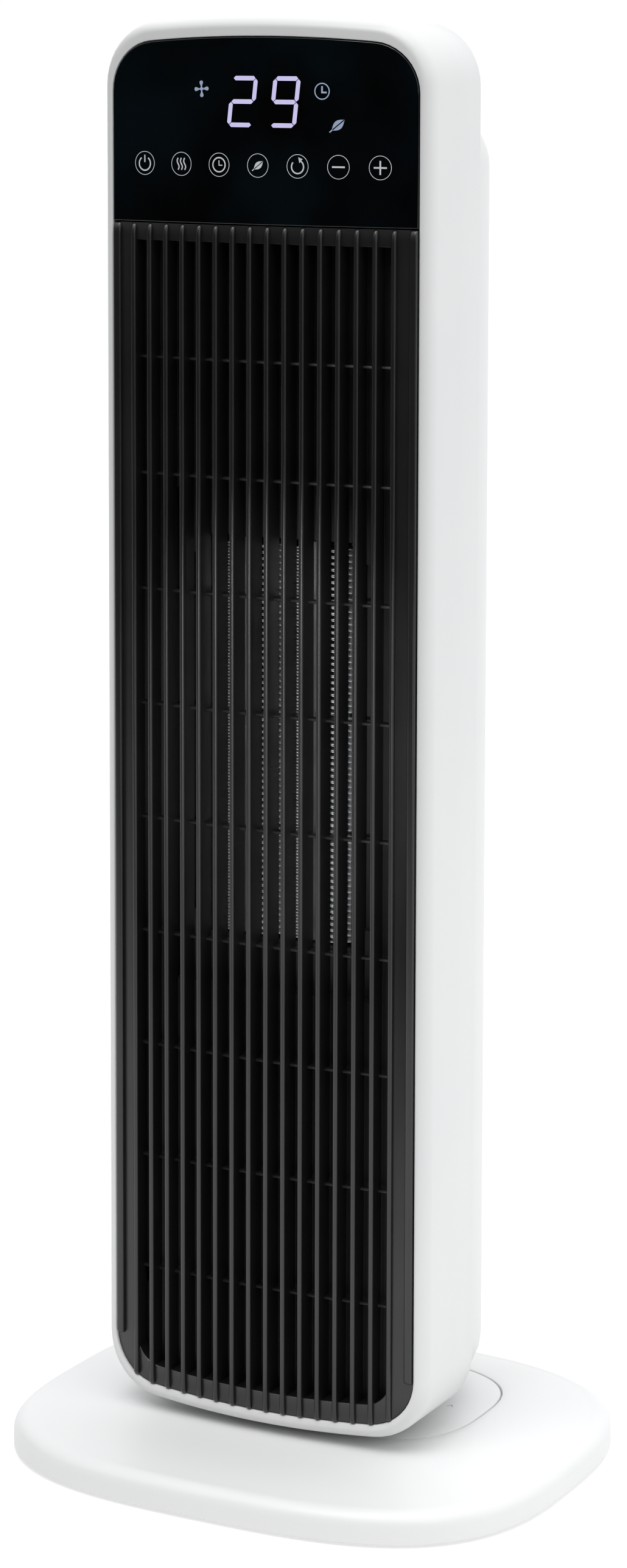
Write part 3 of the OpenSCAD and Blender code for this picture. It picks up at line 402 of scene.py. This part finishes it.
# ---- Rear housing ----
# The white back half of the tower: a half-oval ABS moulding, lower than the front shell and rounded over at
# the top, with a window for the intake grille, openings for the rocker switch and the cord, and six recessed
# screws.
def rear_skin(inset, steps=48, lines=12):
    """The half-oval form drawn in by inset, open at its front, as points by side angle and by height."""
    crown = SHELL["bow"]

    def end_z(x, low):
        sag = crown - math.sqrt(crown * crown - x * x)
        return REAR["low"] + inset + sag if low else REAR["top"] - inset - sag

    def spot(turn, draw, low, rise):
        x = (REAR["a"] - inset - draw) * math.cos(turn)
        y = FRONT_Y + SHELL_D + (REAR["b"] - inset - draw) * math.sin(turn)
        return x, y, end_z(x, low) + (rise if low else -rise)

    rings = []
    for i in range(steps + 1):
        turn = math.pi * i / steps
        side = math.cos(turn) ** 2
        foot_r = 6.0 + 22.0 * side - inset
        head_r = 22.0 + 6.0 * side - inset
        column = []
        for k in range(7):
            t = math.pi / 2 * k / 6
            column.append(spot(turn, foot_r * (1 - math.sin(t)), True, foot_r * (1 - math.cos(t))))
        for k in range(11):
            t = math.pi / 2 * k / 10
            column.append(spot(turn, head_r * (1 - math.cos(t)), False, head_r * (1 - math.sin(t))))
        rings.append(column)
    verts = [p for column in rings for p in column]
    n = len(rings[0])
    faces = [
        (i * n + j, i * n + j + 1, (i + 1) * n + j + 1, (i + 1) * n + j)
        for i in range(steps)
        for j in range(n - 1)
    ]
    for row, low in ((0, True), (n - 1, False)):
        grid = []
        for i in range(steps // 2):
            left, right = rings[i][row], rings[steps - i][row]
            line = [i * n + row]
            for j in range(1, lines):
                f = j / lines
                x = left[0] + (right[0] - left[0]) * f
                line.append(len(verts))
                verts.append((x, left[1] + (right[1] - left[1]) * f, end_z(x, low)))
            line.append((steps - i) * n + row)
            grid.append(line)
        for a, b in zip(grid, grid[1:]):
            faces += [(a[j], a[j + 1], b[j + 1], b[j]) for j in range(lines)]
        tip = steps // 2 * n + row
        faces += [(grid[-1][j], grid[-1][j + 1], tip) for j in range(lines)]
        if low:
            edge = list(range(n - 2, 0, -1)) + grid[0]
        else:
            edge += list(range(steps * n + 1, steps * n + n - 1)) + grid[0][::-1]
    return verts, faces + [tuple(edge)]


def box_solid(low, high, corner=0.0, axis=1, n=6):
    """A block with rounded corners in the plane across the axis."""
    u, v = [k for k in range(3) if k != axis]
    rings = []
    for along in (low[axis], high[axis]):
        ring = []
        for cu, cv, start in (
            (high[u] - corner, high[v] - corner, 0),
            (low[u] + corner, high[v] - corner, 90),
            (low[u] + corner, low[v] + corner, 180),
            (high[u] - corner, low[v] + corner, 270),
        ):
            for k in range(n + 1 if corner else 1):
                t = math.radians(start + 90 * k / n)
                point = [0.0, 0.0, 0.0]
                point[axis] = along
                point[u] = cu + corner * math.cos(t)
                point[v] = cv + corner * math.sin(t)
                ring.append(tuple(point))
        rings.append(ring)
    return solid(rings)


def rear_housing():
    front = FRONT_Y + SHELL_D
    back = front + REAR["b"]
    past = back + 2.0
    screws = [(side * 66.0, z) for side in (-1, 1) for z in (83.3, 322.65, 590.0)]
    boss_r, head_r, shank_r = 5.5, 4.0, 1.6

    def rods(r, low, high, n=48):
        """A round rod on each screw's line."""
        return [solid(tube_rings((x, 0, z), 1, [(r, low), (r, high)], n)) for x, z in screws]

    hollow = cut(mesh_object("hollow", *rear_skin(WALL)), rods(boss_r, front - 1, back))
    made = mesh_object("rear_housing_skin", *rear_skin(0.0), white_abs)
    take_away(made, hollow)
    intake = box_solid((-44.0, front + 20, 205.0), (44.0, past, 465.0), 5.0)
    rocker = box_solid((-9.5, back - 12, 78.5), (9.5, past, 105.5), 1.0)
    cord = solid(tube_rings((0, 0, 56.0), 1, [(6.75, back - 12), (6.75, past)]))
    recesses = rods(head_r, front + 5, past, 32) + rods(shank_r, front - 2, front + 6, 24)
    return cut(made, recesses + [intake, rocker, cord, table_hole()])


place(rear_housing(), "tower", "white_shell", "rear_housing")


# ---- Control glass ----
# A bowed sheet of black tempered glass in the top of the opening. The display carrier holds it from behind,
# and its touch keys are printed in pale grey.
GLASS = {"a": 75.5, "low": 565.8, "top": 647.2, "bow": 694.2, "corner": 22.0}

black_glass = finish(
    "black_glass", (0.0008, 0.0008, 0.0009), (0.0018, 0.0042, 0.0055), 22.0, (0.04, 0.08), 60.0,
    IOR=1.45,
)


def panel_ring(inset, depth):
    """Outline of a panel with a bowed top and a straight bottom, drawn in by inset, behind the bowed face."""
    half = upper_half(*(GLASS[size] - inset for size in ("a", "top", "bow", "corner")))
    ring = half + [(x, GLASS["low"] + inset) for x, z in reversed(half)]
    return [(x, FRONT_Y + depth + bow(x), z) for x, z in ring]


def paired_cap(count, offset):
    """Faces that close a ring whose second half runs back under its first half."""
    half = count // 2
    return [
        (offset + i, offset + i + 1, offset + count - 2 - i, offset + count - 1 - i)
        for i in range(half - 1)
    ]


def control_glass():
    rings = [
        panel_ring(1.2, 0.0),
        panel_ring(0.55, 0.0),
        panel_ring(0.3, 0.05),
        panel_ring(0.08, 0.25),
        panel_ring(0.0, 0.6),
        panel_ring(0.0, 3.0),
    ]
    verts, faces = loft(rings, False)
    n = len(rings[0])
    faces += paired_cap(n, 0) + paired_cap(n, len(verts) - n)
    return mesh_object("control_glass_sheet", verts, faces, black_glass, 60)


place(control_glass(), "tower", "black_glass", "control_glass")


# ---- Key symbols ----
# Seven touch keys in a row, each a thin ring round a plain symbol: power, heat level, timer, leaf, swing,
# minus and plus. They are screen printed in pale grey ink on the glass, and the ink has a faint painted glow.
KEY_Z = 591.6
KEY_PITCH = 19.4
KEY_R = 5.1


def stroke(points, width, closed=False):
    """Quads of a line of this width through points in (x, z)."""
    n = len(points)
    sides = []
    for i, (x, z) in enumerate(points):
        before = points[i - 1] if i or closed else points[i]
        after = points[(i + 1) % n] if i < n - 1 or closed else points[i]
        d1 = Vector((x - before[0], z - before[1]))
        d2 = Vector((after[0] - x, after[1] - z))
        d1 = d1.normalized() if d1.length else d2.normalized()
        d2 = d2.normalized() if d2.length else d1
        out = Vector((-(d1 + d2)[1], (d1 + d2)[0])).normalized()
        reach = width / 2 / max(0.5, out.dot(Vector((-d1[1], d1[0]))))
        sides.append(((x + out[0] * reach, z + out[1] * reach), (x - out[0] * reach, z - out[1] * reach)))
    pairs = [(i, (i + 1) % n) for i in range(n if closed else n - 1)]
    return [[sides[i][0], sides[j][0], sides[j][1], sides[i][1]] for i, j in pairs]


def circle(cx, cz, r, start=0.0, end=360.0, n=40):
    """Points on a circle or, with start and end in degrees, on an arc."""
    steps = n if end - start >= 360 else n + 1
    turns = [math.radians(start + (end - start) * k / n) for k in range(steps)]
    return [(cx + r * math.cos(t), cz + r * math.sin(t)) for t in turns]


def leaf(cx, cz, size):
    """A leaf with an open vein: two curved halves and a stalk."""
    steps, plump, slant = 8, 0.52, math.radians(38)
    shapes = []
    for side in (-1, 1):
        rim = [
            (size * (k / steps * 2 - 1), side * size * plump * math.sin(math.pi * k / steps))
            for k in range(steps + 1)
        ]
        vein = [(x * 0.86, side * size * 0.07) for x, z in rim]
        shapes += [[rim[k], rim[k + 1], vein[k + 1], vein[k]] for k in range(steps)]
    shapes += stroke([(-size * 1.35, 0.0), (-size * 0.9, 0.0)], size * 0.14)
    c, s = math.cos(slant), math.sin(slant)
    return [[(cx + x * c - z * s, cz + x * s + z * c) for x, z in part] for part in shapes]


def printed(name, shapes, material, proud=0.03, thick=0.06):
    """Flat shapes in (x, z) laid on the bowed glass."""
    parts = []
    for shape in shapes:
        front = [(x, FRONT_Y + bow(x) - proud, z) for x, z in shape]
        back = [(x, y + thick, z) for x, y, z in front]
        parts.append(solid([front, back]))
    return mesh_object(name, *join_parts(parts), material, 20)


def key_symbols():
    line, bar = 0.62, 0.75
    power, heat, timer, _, swing, minus, plus = (k * KEY_PITCH for k in range(-3, 4))
    shapes = []
    for k in range(-3, 4):
        shapes += stroke(circle(k * KEY_PITCH, KEY_Z, KEY_R, n=56), 0.26, True)
    shapes += stroke(circle(power, KEY_Z - 0.2, 3.0, 125, 415, 36), line)
    shapes += stroke([(power, KEY_Z + 0.4), (power, KEY_Z + 3.6)], line)
    for lean in (-1.7, 0.0, 1.7):
        wave = [
            (heat + lean + 0.5 * math.sin(k / 16 * math.tau), KEY_Z - 2.6 + 5.2 * k / 16) for k in range(17)
        ]
        shapes += stroke(wave, 0.6)
    shapes += stroke(circle(timer, KEY_Z, 3.1), 0.6, True)
    shapes += stroke([(timer, KEY_Z + 1.9), (timer, KEY_Z - 0.2), (timer + 1.7, KEY_Z - 0.2)], 0.45)
    shapes += leaf(0.3, KEY_Z + 0.1, 2.9)
    shapes += stroke(circle(swing, KEY_Z - 0.2, 2.9, 140, 420, 36), line)
    shapes.append([(swing + 0.3, KEY_Z + 3.9), (swing + 0.9, KEY_Z + 1.4), (swing + 2.4, KEY_Z + 3.2)])
    for x in (minus, plus):
        shapes += stroke([(x - 3.0, KEY_Z), (x + 3.0, KEY_Z)], bar)
    shapes += stroke([(plus, KEY_Z - 3.0), (plus, KEY_Z + 3.0)], bar)
    # Pale grey printed ink, with a faint emission on top of it as a painted glow that brightens the unlit
    # keys.
    ink_and_painted_glow = finish(
        "grey_ink_painted_glow", (0.50, 0.51, 0.53), (0.58, 0.59, 0.61), 60.0, (0.25, 0.35), 300.0,
        Coat_Weight=0.5, Emission_Color=rgb(0.55, 0.57, 0.62), Emission_Strength=0.14,
    )
    return printed("key_symbols", shapes, ink_and_painted_glow)


place(key_symbols(), "tower", None)


# ---- Lit display ----
# Two slanted seven-segment digits with a fan, a clock and a leaf beside them, lit from the module behind the
# glass. The digits glow lavender white, and the symbols are dimmer.
def digit(x0, z0, segments, width=13.2, height=22.2, bar=1.95, lean=math.tan(math.radians(6.4))):
    """A slanted digit made of the segments a to g, each a bar with pointed ends."""
    gap, half, mid = 0.22, bar / 2, height / 2
    level = {"a": height - half, "g": mid, "d": half}
    shapes = []
    for s in segments:
        if s in level:
            z = level[s]
            low, high = half + gap, width - half - gap
            shapes.append([
                (low, z), (low + half, z + half), (high - half, z + half),
                (high, z), (high - half, z - half), (low + half, z - half),
            ])
        else:
            x = half if s in "ef" else width - half
            low, high = (mid + gap, height - half - gap) if s in "bf" else (half + gap, mid - gap)
            shapes.append([
                (x, low), (x - half, low + half), (x - half, high - half),
                (x, high), (x + half, high - half), (x + half, low + half),
            ])
    return [[(x0 + x + z * lean, z0 + z) for x, z in shape] for shape in shapes]


def display():
    lit = finish(
        "lit_digits", (0.05, 0.05, 0.07), (0.08, 0.08, 0.11), 400.0, (0.3, 0.4), 900.0,
        Emission_Color=rgb(0.56, 0.52, 0.80), Emission_Strength=0.95,
    )
    digit_z = 608.1
    shapes = digit(-15.5, digit_z, "abged") + digit(5.3, digit_z, "abcdfg")
    place(printed("lit_digits", shapes, lit, 0.04), "tower", "display")

    dim = finish(
        "lit_symbols", (0.04, 0.05, 0.06), (0.06, 0.07, 0.09), 200.0, (0.3, 0.4), 900.0,
        Emission_Color=rgb(0.26, 0.31, 0.44), Emission_Strength=0.9,
    )
    fan_x, fan_z, clock_x, clock_z = -28.3, 624.5, 31.0, 624.0
    blade = [
        (0.5, 0.2), (1.6, 0.55), (2.5, 1.0), (3.2, 0.95), (3.6, 0.35),
        (3.5, -0.4), (2.9, -0.75), (2.1, -0.5), (1.4, -0.25), (0.5, -0.25),
    ]
    shapes = []
    for turn in (0, 90, 180, 270):
        c, s = math.cos(math.radians(turn)), math.sin(math.radians(turn))
        shapes.append([(fan_x + x * c - z * s, fan_z + x * s + z * c) for x, z in blade])
    shapes.append(circle(fan_x, fan_z, 0.8, n=20))
    shapes += stroke(circle(clock_x, clock_z, 3.4), 0.5, True)
    hands = [(clock_x, clock_z + 2.2), (clock_x, clock_z - 0.5), (clock_x + 2.2, clock_z - 0.5)]
    shapes += stroke(hands, 0.75)
    shapes += leaf(38.6, 609.6, 3.8)
    place(printed("lit_symbols", shapes, dim, 0.05), "tower", "display")


display()


# ---- Front grille ----
# One charcoal moulding: a frame with a header and a footer, eighteen upright ribs whose rounded fronts curve
# back into the header and end in small noses at the bottom, and nine thin crossbars set behind them.
PANEL = {"a": 75.5, "low": 32.5, "top": 565.4, "bow": 694.2, "corner": 22.0}
RIB_PITCH = 8.6
MIDDLE_RIBS = 16
CROSSBARS = 9

charcoal = finish(
    "charcoal_abs", (0.0065, 0.0065, 0.0070), (0.0095, 0.0095, 0.0100), 30.0, (0.28, 0.38), 1800.0, 0.10,
    IOR=1.6,
)


def grille_ring(a, low, top, corner, depth, bowed=1.0):
    """The grille's outline, with a straight top and a bowed bottom, at a depth behind the bowed face."""
    half = upper_half(a, 0.0, PANEL["bow"], corner)
    ring = [(x, low - z) for x, z in half] + [(x, top) for x, z in reversed(half)]
    return [(x, FRONT_Y + depth + bowed * bow(x), z) for x, z in ring]


def foot_z(x):
    """Height of the grille's lower edge at x."""
    a, corner, crown = PANEL["a"], PANEL["corner"], PANEL["bow"]
    rise = math.sqrt((crown - corner) ** 2 - (a - corner) ** 2)
    cx = a - corner
    if abs(x) > crown * cx / (crown - corner):
        return PANEL["low"] + crown - rise - math.sqrt(max(corner**2 - (abs(x) - cx) ** 2, 0.0))
    return PANEL["low"] + crown - math.sqrt(crown**2 - x * x)


def rib(x, width, low, top, front=-1.0, seat=1.2, back=10.0):
    """One rib with a rounded front. Its top curves back into the header and its bottom ends in a nose."""
    drop, nose, n = 5.5, 1.9, 8
    half = width / 2
    r = min(half, 1.25)
    stations = []
    for k in range(6):
        t = math.pi / 2 * (1 - k / 5)
        stations.append((low + nose * (1 - math.sin(t)), front + (seat - front) * (1 - math.cos(t))))
    for k in range(8):
        t = math.pi / 2 * k / 7
        stations.append((top - drop * (1 - math.sin(t)), front + (seat - front) * (1 - math.cos(t))))
    face = FRONT_Y + bow(x)
    rings = []
    for z, depth in stations:
        ring = [(x + half, FRONT_Y + back, z)]
        for k in range(n + 1):
            t = math.pi / 2 * k / n
            ring.append((x + half - r + r * math.cos(t), face + depth + r - r * math.sin(t), z))
        for k in range(n + 1):
            t = math.pi / 2 * (1 - k / n)
            ring.append((x - half + r - r * math.cos(t), face + depth + r - r * math.sin(t), z))
        ring.append((x - half, FRONT_Y + back, z))
        rings.append(ring)
    return solid(rings)


def front_grille():
    a, low, top, corner = PANEL["a"], PANEL["low"], PANEL["top"], PANEL["corner"]
    inner_a, inner_low, inner_top, inner_corner = 64.5, 41.3, 557.6, 13.0
    deep = 11.0
    rings = [
        grille_ring(a, low, top, corner, deep, 0.0),
        grille_ring(a, low, top, corner, 1.5),
        grille_ring(a - 0.15, low + 0.15, top - 0.15, corner - 0.15, 1.15),
        grille_ring(a - 0.5, low + 0.5, top - 0.5, corner - 0.5, 1.0),
        grille_ring(inner_a + 0.3, inner_low - 0.3, inner_top + 0.3, inner_corner + 0.3, 1.0),
        grille_ring(inner_a, inner_low, inner_top, inner_corner, 1.3),
        grille_ring(inner_a, inner_low, inner_top, inner_corner, deep, 0.0),
    ]
    parts = [loft(rings)]
    for i in range(MIDDLE_RIBS):
        x = (i - (MIDDLE_RIBS - 1) / 2) * RIB_PITCH
        parts.append(rib(x, 2.5, foot_z(x) - 0.1, top - 0.3))
    for side in (-1, 1):
        parts.append(rib(side * 73.45, 3.9, low + 23.0, top - 0.1, -0.9))

    bar_half, spans, bar_back = inner_a + 0.7, 24, 9.5
    bar_nose = [(5.2, 0.75), (4.7, 0.5), (4.5, 0.0), (4.7, -0.5), (5.2, -0.75)]
    for k in range(CROSSBARS):
        z = inner_low + (k + 0.9) * (inner_top - inner_low) / (CROSSBARS + 0.9)
        rings = []
        for j in range(spans + 1):
            x = -bar_half + 2 * bar_half * j / spans
            nose = [(x, FRONT_Y + depth + bow(x), z + rise) for depth, rise in bar_nose]
            rings.append([(x, FRONT_Y + bar_back, z + 0.75), *nose, (x, FRONT_Y + bar_back, z - 0.75)])
        parts.append(solid(rings))
    return mesh_object("grille_moulding", *join_parts(parts), charcoal, 30)


grille_skin = place(front_grille(), "tower", "grille_black", "front_grille")
bpy.data.collections["grille_lit"].objects.link(grille_skin)


# ---- Heater, ducts and controls ----
# What is inside the tower is shown as the CAD has it: the ceramic element, with aluminium tubes and fins in a
# black heat-resistant frame, the black duct and scroll, the blower and its motor, the boards with what they
# carry, and the swing drive.
def dress(material, *nodes):
    """Gives CAD nodes their material."""
    for node in nodes:
        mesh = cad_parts[node].data
        mesh.materials.clear()
        mesh.materials.append(material)


dress(
    finish("aluminium", (0.56, 0.57, 0.58), (0.72, 0.73, 0.74), 60.0, (0.28, 0.42), 1500.0, Metallic=1.0),
    "heat_sink", "thermal_cutout",
)
# The tubes' aluminium is painted much darker than the other aluminium as painted shade, so that the tubes
# don't outshine the fins.
dress(
    finish(
        "tube_aluminium_painted_shade", (0.26, 0.265, 0.27), (0.34, 0.345, 0.35), 60.0, (0.32, 0.45), 1500.0, Metallic=1.0
    ),
    "heater_tubes",
)
dress(
    finish(
        "aluminium_foil", (0.74, 0.75, 0.77), (0.90, 0.91, 0.92), 160.0, (0.45, 0.65), 1500.0, Metallic=0.3
    ),
    "heater_fins",
)
dress(
    finish("duct_plastic", (0.010, 0.010, 0.011), (0.014, 0.014, 0.015), 25.0, (0.5, 0.6), 1500.0, 0.1),
    "air_duct", "scroll_housing", "vortex_tongue", "swing_bracket",
)
dress(
    finish("heat_plastic", (0.016, 0.016, 0.017), (0.022, 0.022, 0.023), 25.0, (0.55, 0.65), 1500.0, 0.1),
    "heater_frame",
)
dress(
    finish("black_plastic", (0.012, 0.012, 0.013), (0.018, 0.018, 0.019), 40.0, (0.4, 0.5), 1500.0, 0.05),
    "display_carrier", "ir_receiver", "buzzer", "relays", "rocker_frame", "rocker", "tip_switch",
    "room_sensor",
)
dress(
    finish("impeller_plastic", (0.03, 0.031, 0.033), (0.042, 0.043, 0.045), 25.0, (0.45, 0.55), 1200.0),
    "impeller",
)
dress(
    finish("rubber", (0.010, 0.010, 0.010), (0.016, 0.016, 0.016), 60.0, (0.7, 0.85), 900.0, 0.2),
    "bearing_rubber", "motor_rubbers", "rubber_feet",
)
dress(
    finish("steel", (0.42, 0.42, 0.43), (0.55, 0.55, 0.56), 80.0, (0.25, 0.4), 1500.0, Metallic=1.0),
    "motor_shaft", "motor_rotor", "stator_core", "motor_lower_cover", "motor_upper_cover", "swing_motor",
    "turntable_screws", "gear_screws", "foot_screws", "base_screws", "housing_screws",
)
dress(
    finish("brass", (0.58, 0.40, 0.15), (0.68, 0.50, 0.22), 80.0, (0.25, 0.4), 1500.0, Metallic=1.0),
    "touch_springs", "heater_terminals", "upper_bearing", "motor_bearings",
)
dress(
    finish(
        "copper_wire", (0.45, 0.16, 0.06), (0.60, 0.24, 0.09), 120.0, (0.3, 0.45), 2500.0, 0.3, Metallic=1.0
    ),
    "stator_coils",
)
dress(
    finish("ceramic", (0.05, 0.045, 0.04), (0.08, 0.072, 0.065), 60.0, (0.6, 0.75), 900.0),
    "ptc_chips",
)
dress(
    finish("fuse_ceramic", (0.60, 0.52, 0.36), (0.68, 0.60, 0.44), 60.0, (0.4, 0.5), 900.0),
    "thermal_fuse",
)
dress(
    finish("board_green", (0.010, 0.055, 0.020), (0.018, 0.085, 0.030), 70.0, (0.3, 0.4), 1500.0),
    "display_board", "power_board",
)
dress(
    finish("yellow_film", (0.55, 0.36, 0.02), (0.62, 0.42, 0.04), 70.0, (0.35, 0.45), 900.0),
    "filter_capacitor",
)
dress(
    finish("display_film", (0.55, 0.55, 0.62), (0.62, 0.62, 0.70), 70.0, (0.35, 0.45), 900.0),
    "display_module",
)
dress(
    finish("pale_nylon", (0.66, 0.65, 0.61), (0.74, 0.73, 0.69), 40.0, (0.38, 0.48), 1200.0, 0.05),
    "terminal_block", "pinion", "foot_gear", "turntable", "glide_ring", "tip_plunger", "cord_bush",
)
dress(
    finish("filter_mesh", (0.10, 0.105, 0.11), (0.20, 0.205, 0.21), 900.0, (0.75, 0.9), 2400.0, 0.6),
    "dust_filter",
)
dress(white_abs, "intake_grille", "base_bottom")


# ---- Base cover ----
# A wide rounded plate in white ABS with an upright rim, a soft shoulder and a gently crowned top. The foot
# plate drops into its opening with a thin gap all round.
SQUARE = 3.0
BASE_TOP = 22.0
PLATE_A, PLATE_B = 79.3, 54.0


def soft_square(a, b, z, cy=0.0, n=144):
    """A rounded-square ring of half sizes a and b."""
    ring = []
    for k in range(n):
        c, s = math.cos(math.tau * k / n), math.sin(math.tau * k / n)
        x = a * math.copysign(abs(c) ** (2 / SQUARE), c)
        y = cy + b * math.copysign(abs(s) ** (2 / SQUARE), s)
        ring.append((x, y, z))
    return ring


def between(ring_a, ring_b, f, z):
    """A ring at height z, a fraction f of the way from one ring to the other."""
    return [(p[0] + (q[0] - p[0]) * f, p[1] + (q[1] - p[1]) * f, z) for p, q in zip(ring_a, ring_b)]


# The base's white is the tower's white ABS painted a shade lighter. This is painted light that lifts the
# shade falling on the base top in front of the tower.
white_base = finish(
    "white_base", (0.74, 0.74, 0.742), (0.76, 0.76, 0.76), 7.0, (0.34, 0.44), 1400.0, 0.05,
    IOR=1.5,
)


def base_cover():
    a, b, top, low, wall = 131.5, 110.0, BASE_TOP, 1.5, 2.4
    middle = FRONT_Y + AXIS
    gap, ledge, lip, flange = 0.7, 2.5, 5.7, 5.3
    hole_a, hole_b = PLATE_A + gap, PLATE_B + gap
    rim_top, edge_in, edge_up, edge_steps = 9.5, 7.5, 6.6, 10

    def hole(grow, z):
        """A ring round the foot plate's hole."""
        return soft_square(hole_a + grow, hole_b + grow, z, middle)

    def rim(draw, z):
        """A ring on the cover's outside, drawn in."""
        return soft_square(a - draw, b - draw, z)

    rings = [rim(0.5, low), rim(0.0, 2.2), rim(0.0, 6.0)]
    for k in range(edge_steps + 1):
        t = math.pi / 2 * k / edge_steps
        rings.append(rim(edge_in * (1 - math.cos(t)), rim_top + edge_up * math.sin(t)))
    shoulder, mouth = rings[-1], hole(0.6, top)
    start = shoulder[0][2]
    for f in (0.06, 0.14, 0.25, 0.38, 0.52, 0.66, 0.80, 0.92, 1.0):
        rings.append(between(shoulder, mouth, f, start + (top - start) * (1 - (1 - f) ** 1.7)))
    rings += [
        hole(0.2, top - 0.12),
        hole(0.0, top - 0.5),
        hole(0.0, top - ledge),
        hole(-lip, top - ledge),
        hole(-lip, top - 2 * ledge),
        hole(flange, top - 2 * ledge),
        rim(wall + 8.0, start - wall),
        rim(wall, 8.0),
        rim(wall, low),
    ]
    return mesh_object("base_cover_skin", *loft(rings), white_base, 32)


place(base_cover(), "base", "white_base", "base_cover")


# ---- Foot plate ----
# The white plate in the base's opening. Its hollow post carries the tower on a turntable, and a small arrow
# head beside the tower marks the middle of the swing.
def foot_plate():
    middle = FRONT_Y + AXIS
    low, bore_r, post_r, post_low, post_top = 19.5, 13.0, 20.0, 12.0, 35.3
    plate = [
        soft_square(PLATE_A, PLATE_B, low, middle),
        soft_square(PLATE_A, PLATE_B, BASE_TOP - 0.5, middle),
        soft_square(PLATE_A - 0.2, PLATE_B - 0.2, BASE_TOP - 0.12, middle),
        soft_square(PLATE_A - 0.6, PLATE_B - 0.6, BASE_TOP, middle),
    ]
    plate += [soft_square(bore_r + 0.5, bore_r + 0.5, z, middle) for z in (BASE_TOP, low)]
    post = [
        (post_r, post_low), (post_r, post_top - 0.3), (post_r - 0.3, post_top),
        (bore_r, post_top), (bore_r, post_low),
    ]
    boss = [(5.0, post_low), (5.0, 20.0), (1.55, 20.0), (1.55, post_low)]
    parts = [loft(plate), loft(tube_rings((0, middle, 0), 2, post, 72))]
    for x in (-52.0, 52.0):
        for y in (-30.0, 30.0):
            parts.append(loft(tube_rings((x, middle + y, 0), 2, boss, 32)))
    skin = mesh_object("foot_plate_skin", *join_parts(parts), white_base, 30)
    place(skin, "base", "white_base", "foot_plate")

    grey = finish("plate_mark", (0.35, 0.35, 0.36), (0.42, 0.42, 0.43), 80.0, (0.5, 0.6), 900.0)
    mark_top, mark_low = BASE_TOP + 0.02, BASE_TOP - 0.1
    mark = [
        solid([[(x, y, z) for x, y in shape] for z in (mark_top, mark_low)])
        for shape in stroke([(60.6, 17.0), (62.0, 19.2), (63.4, 17.0)], 0.5)
    ]
    place(mesh_object("plate_mark", *join_parts(mark), grey, 20), "base", None)


foot_plate()
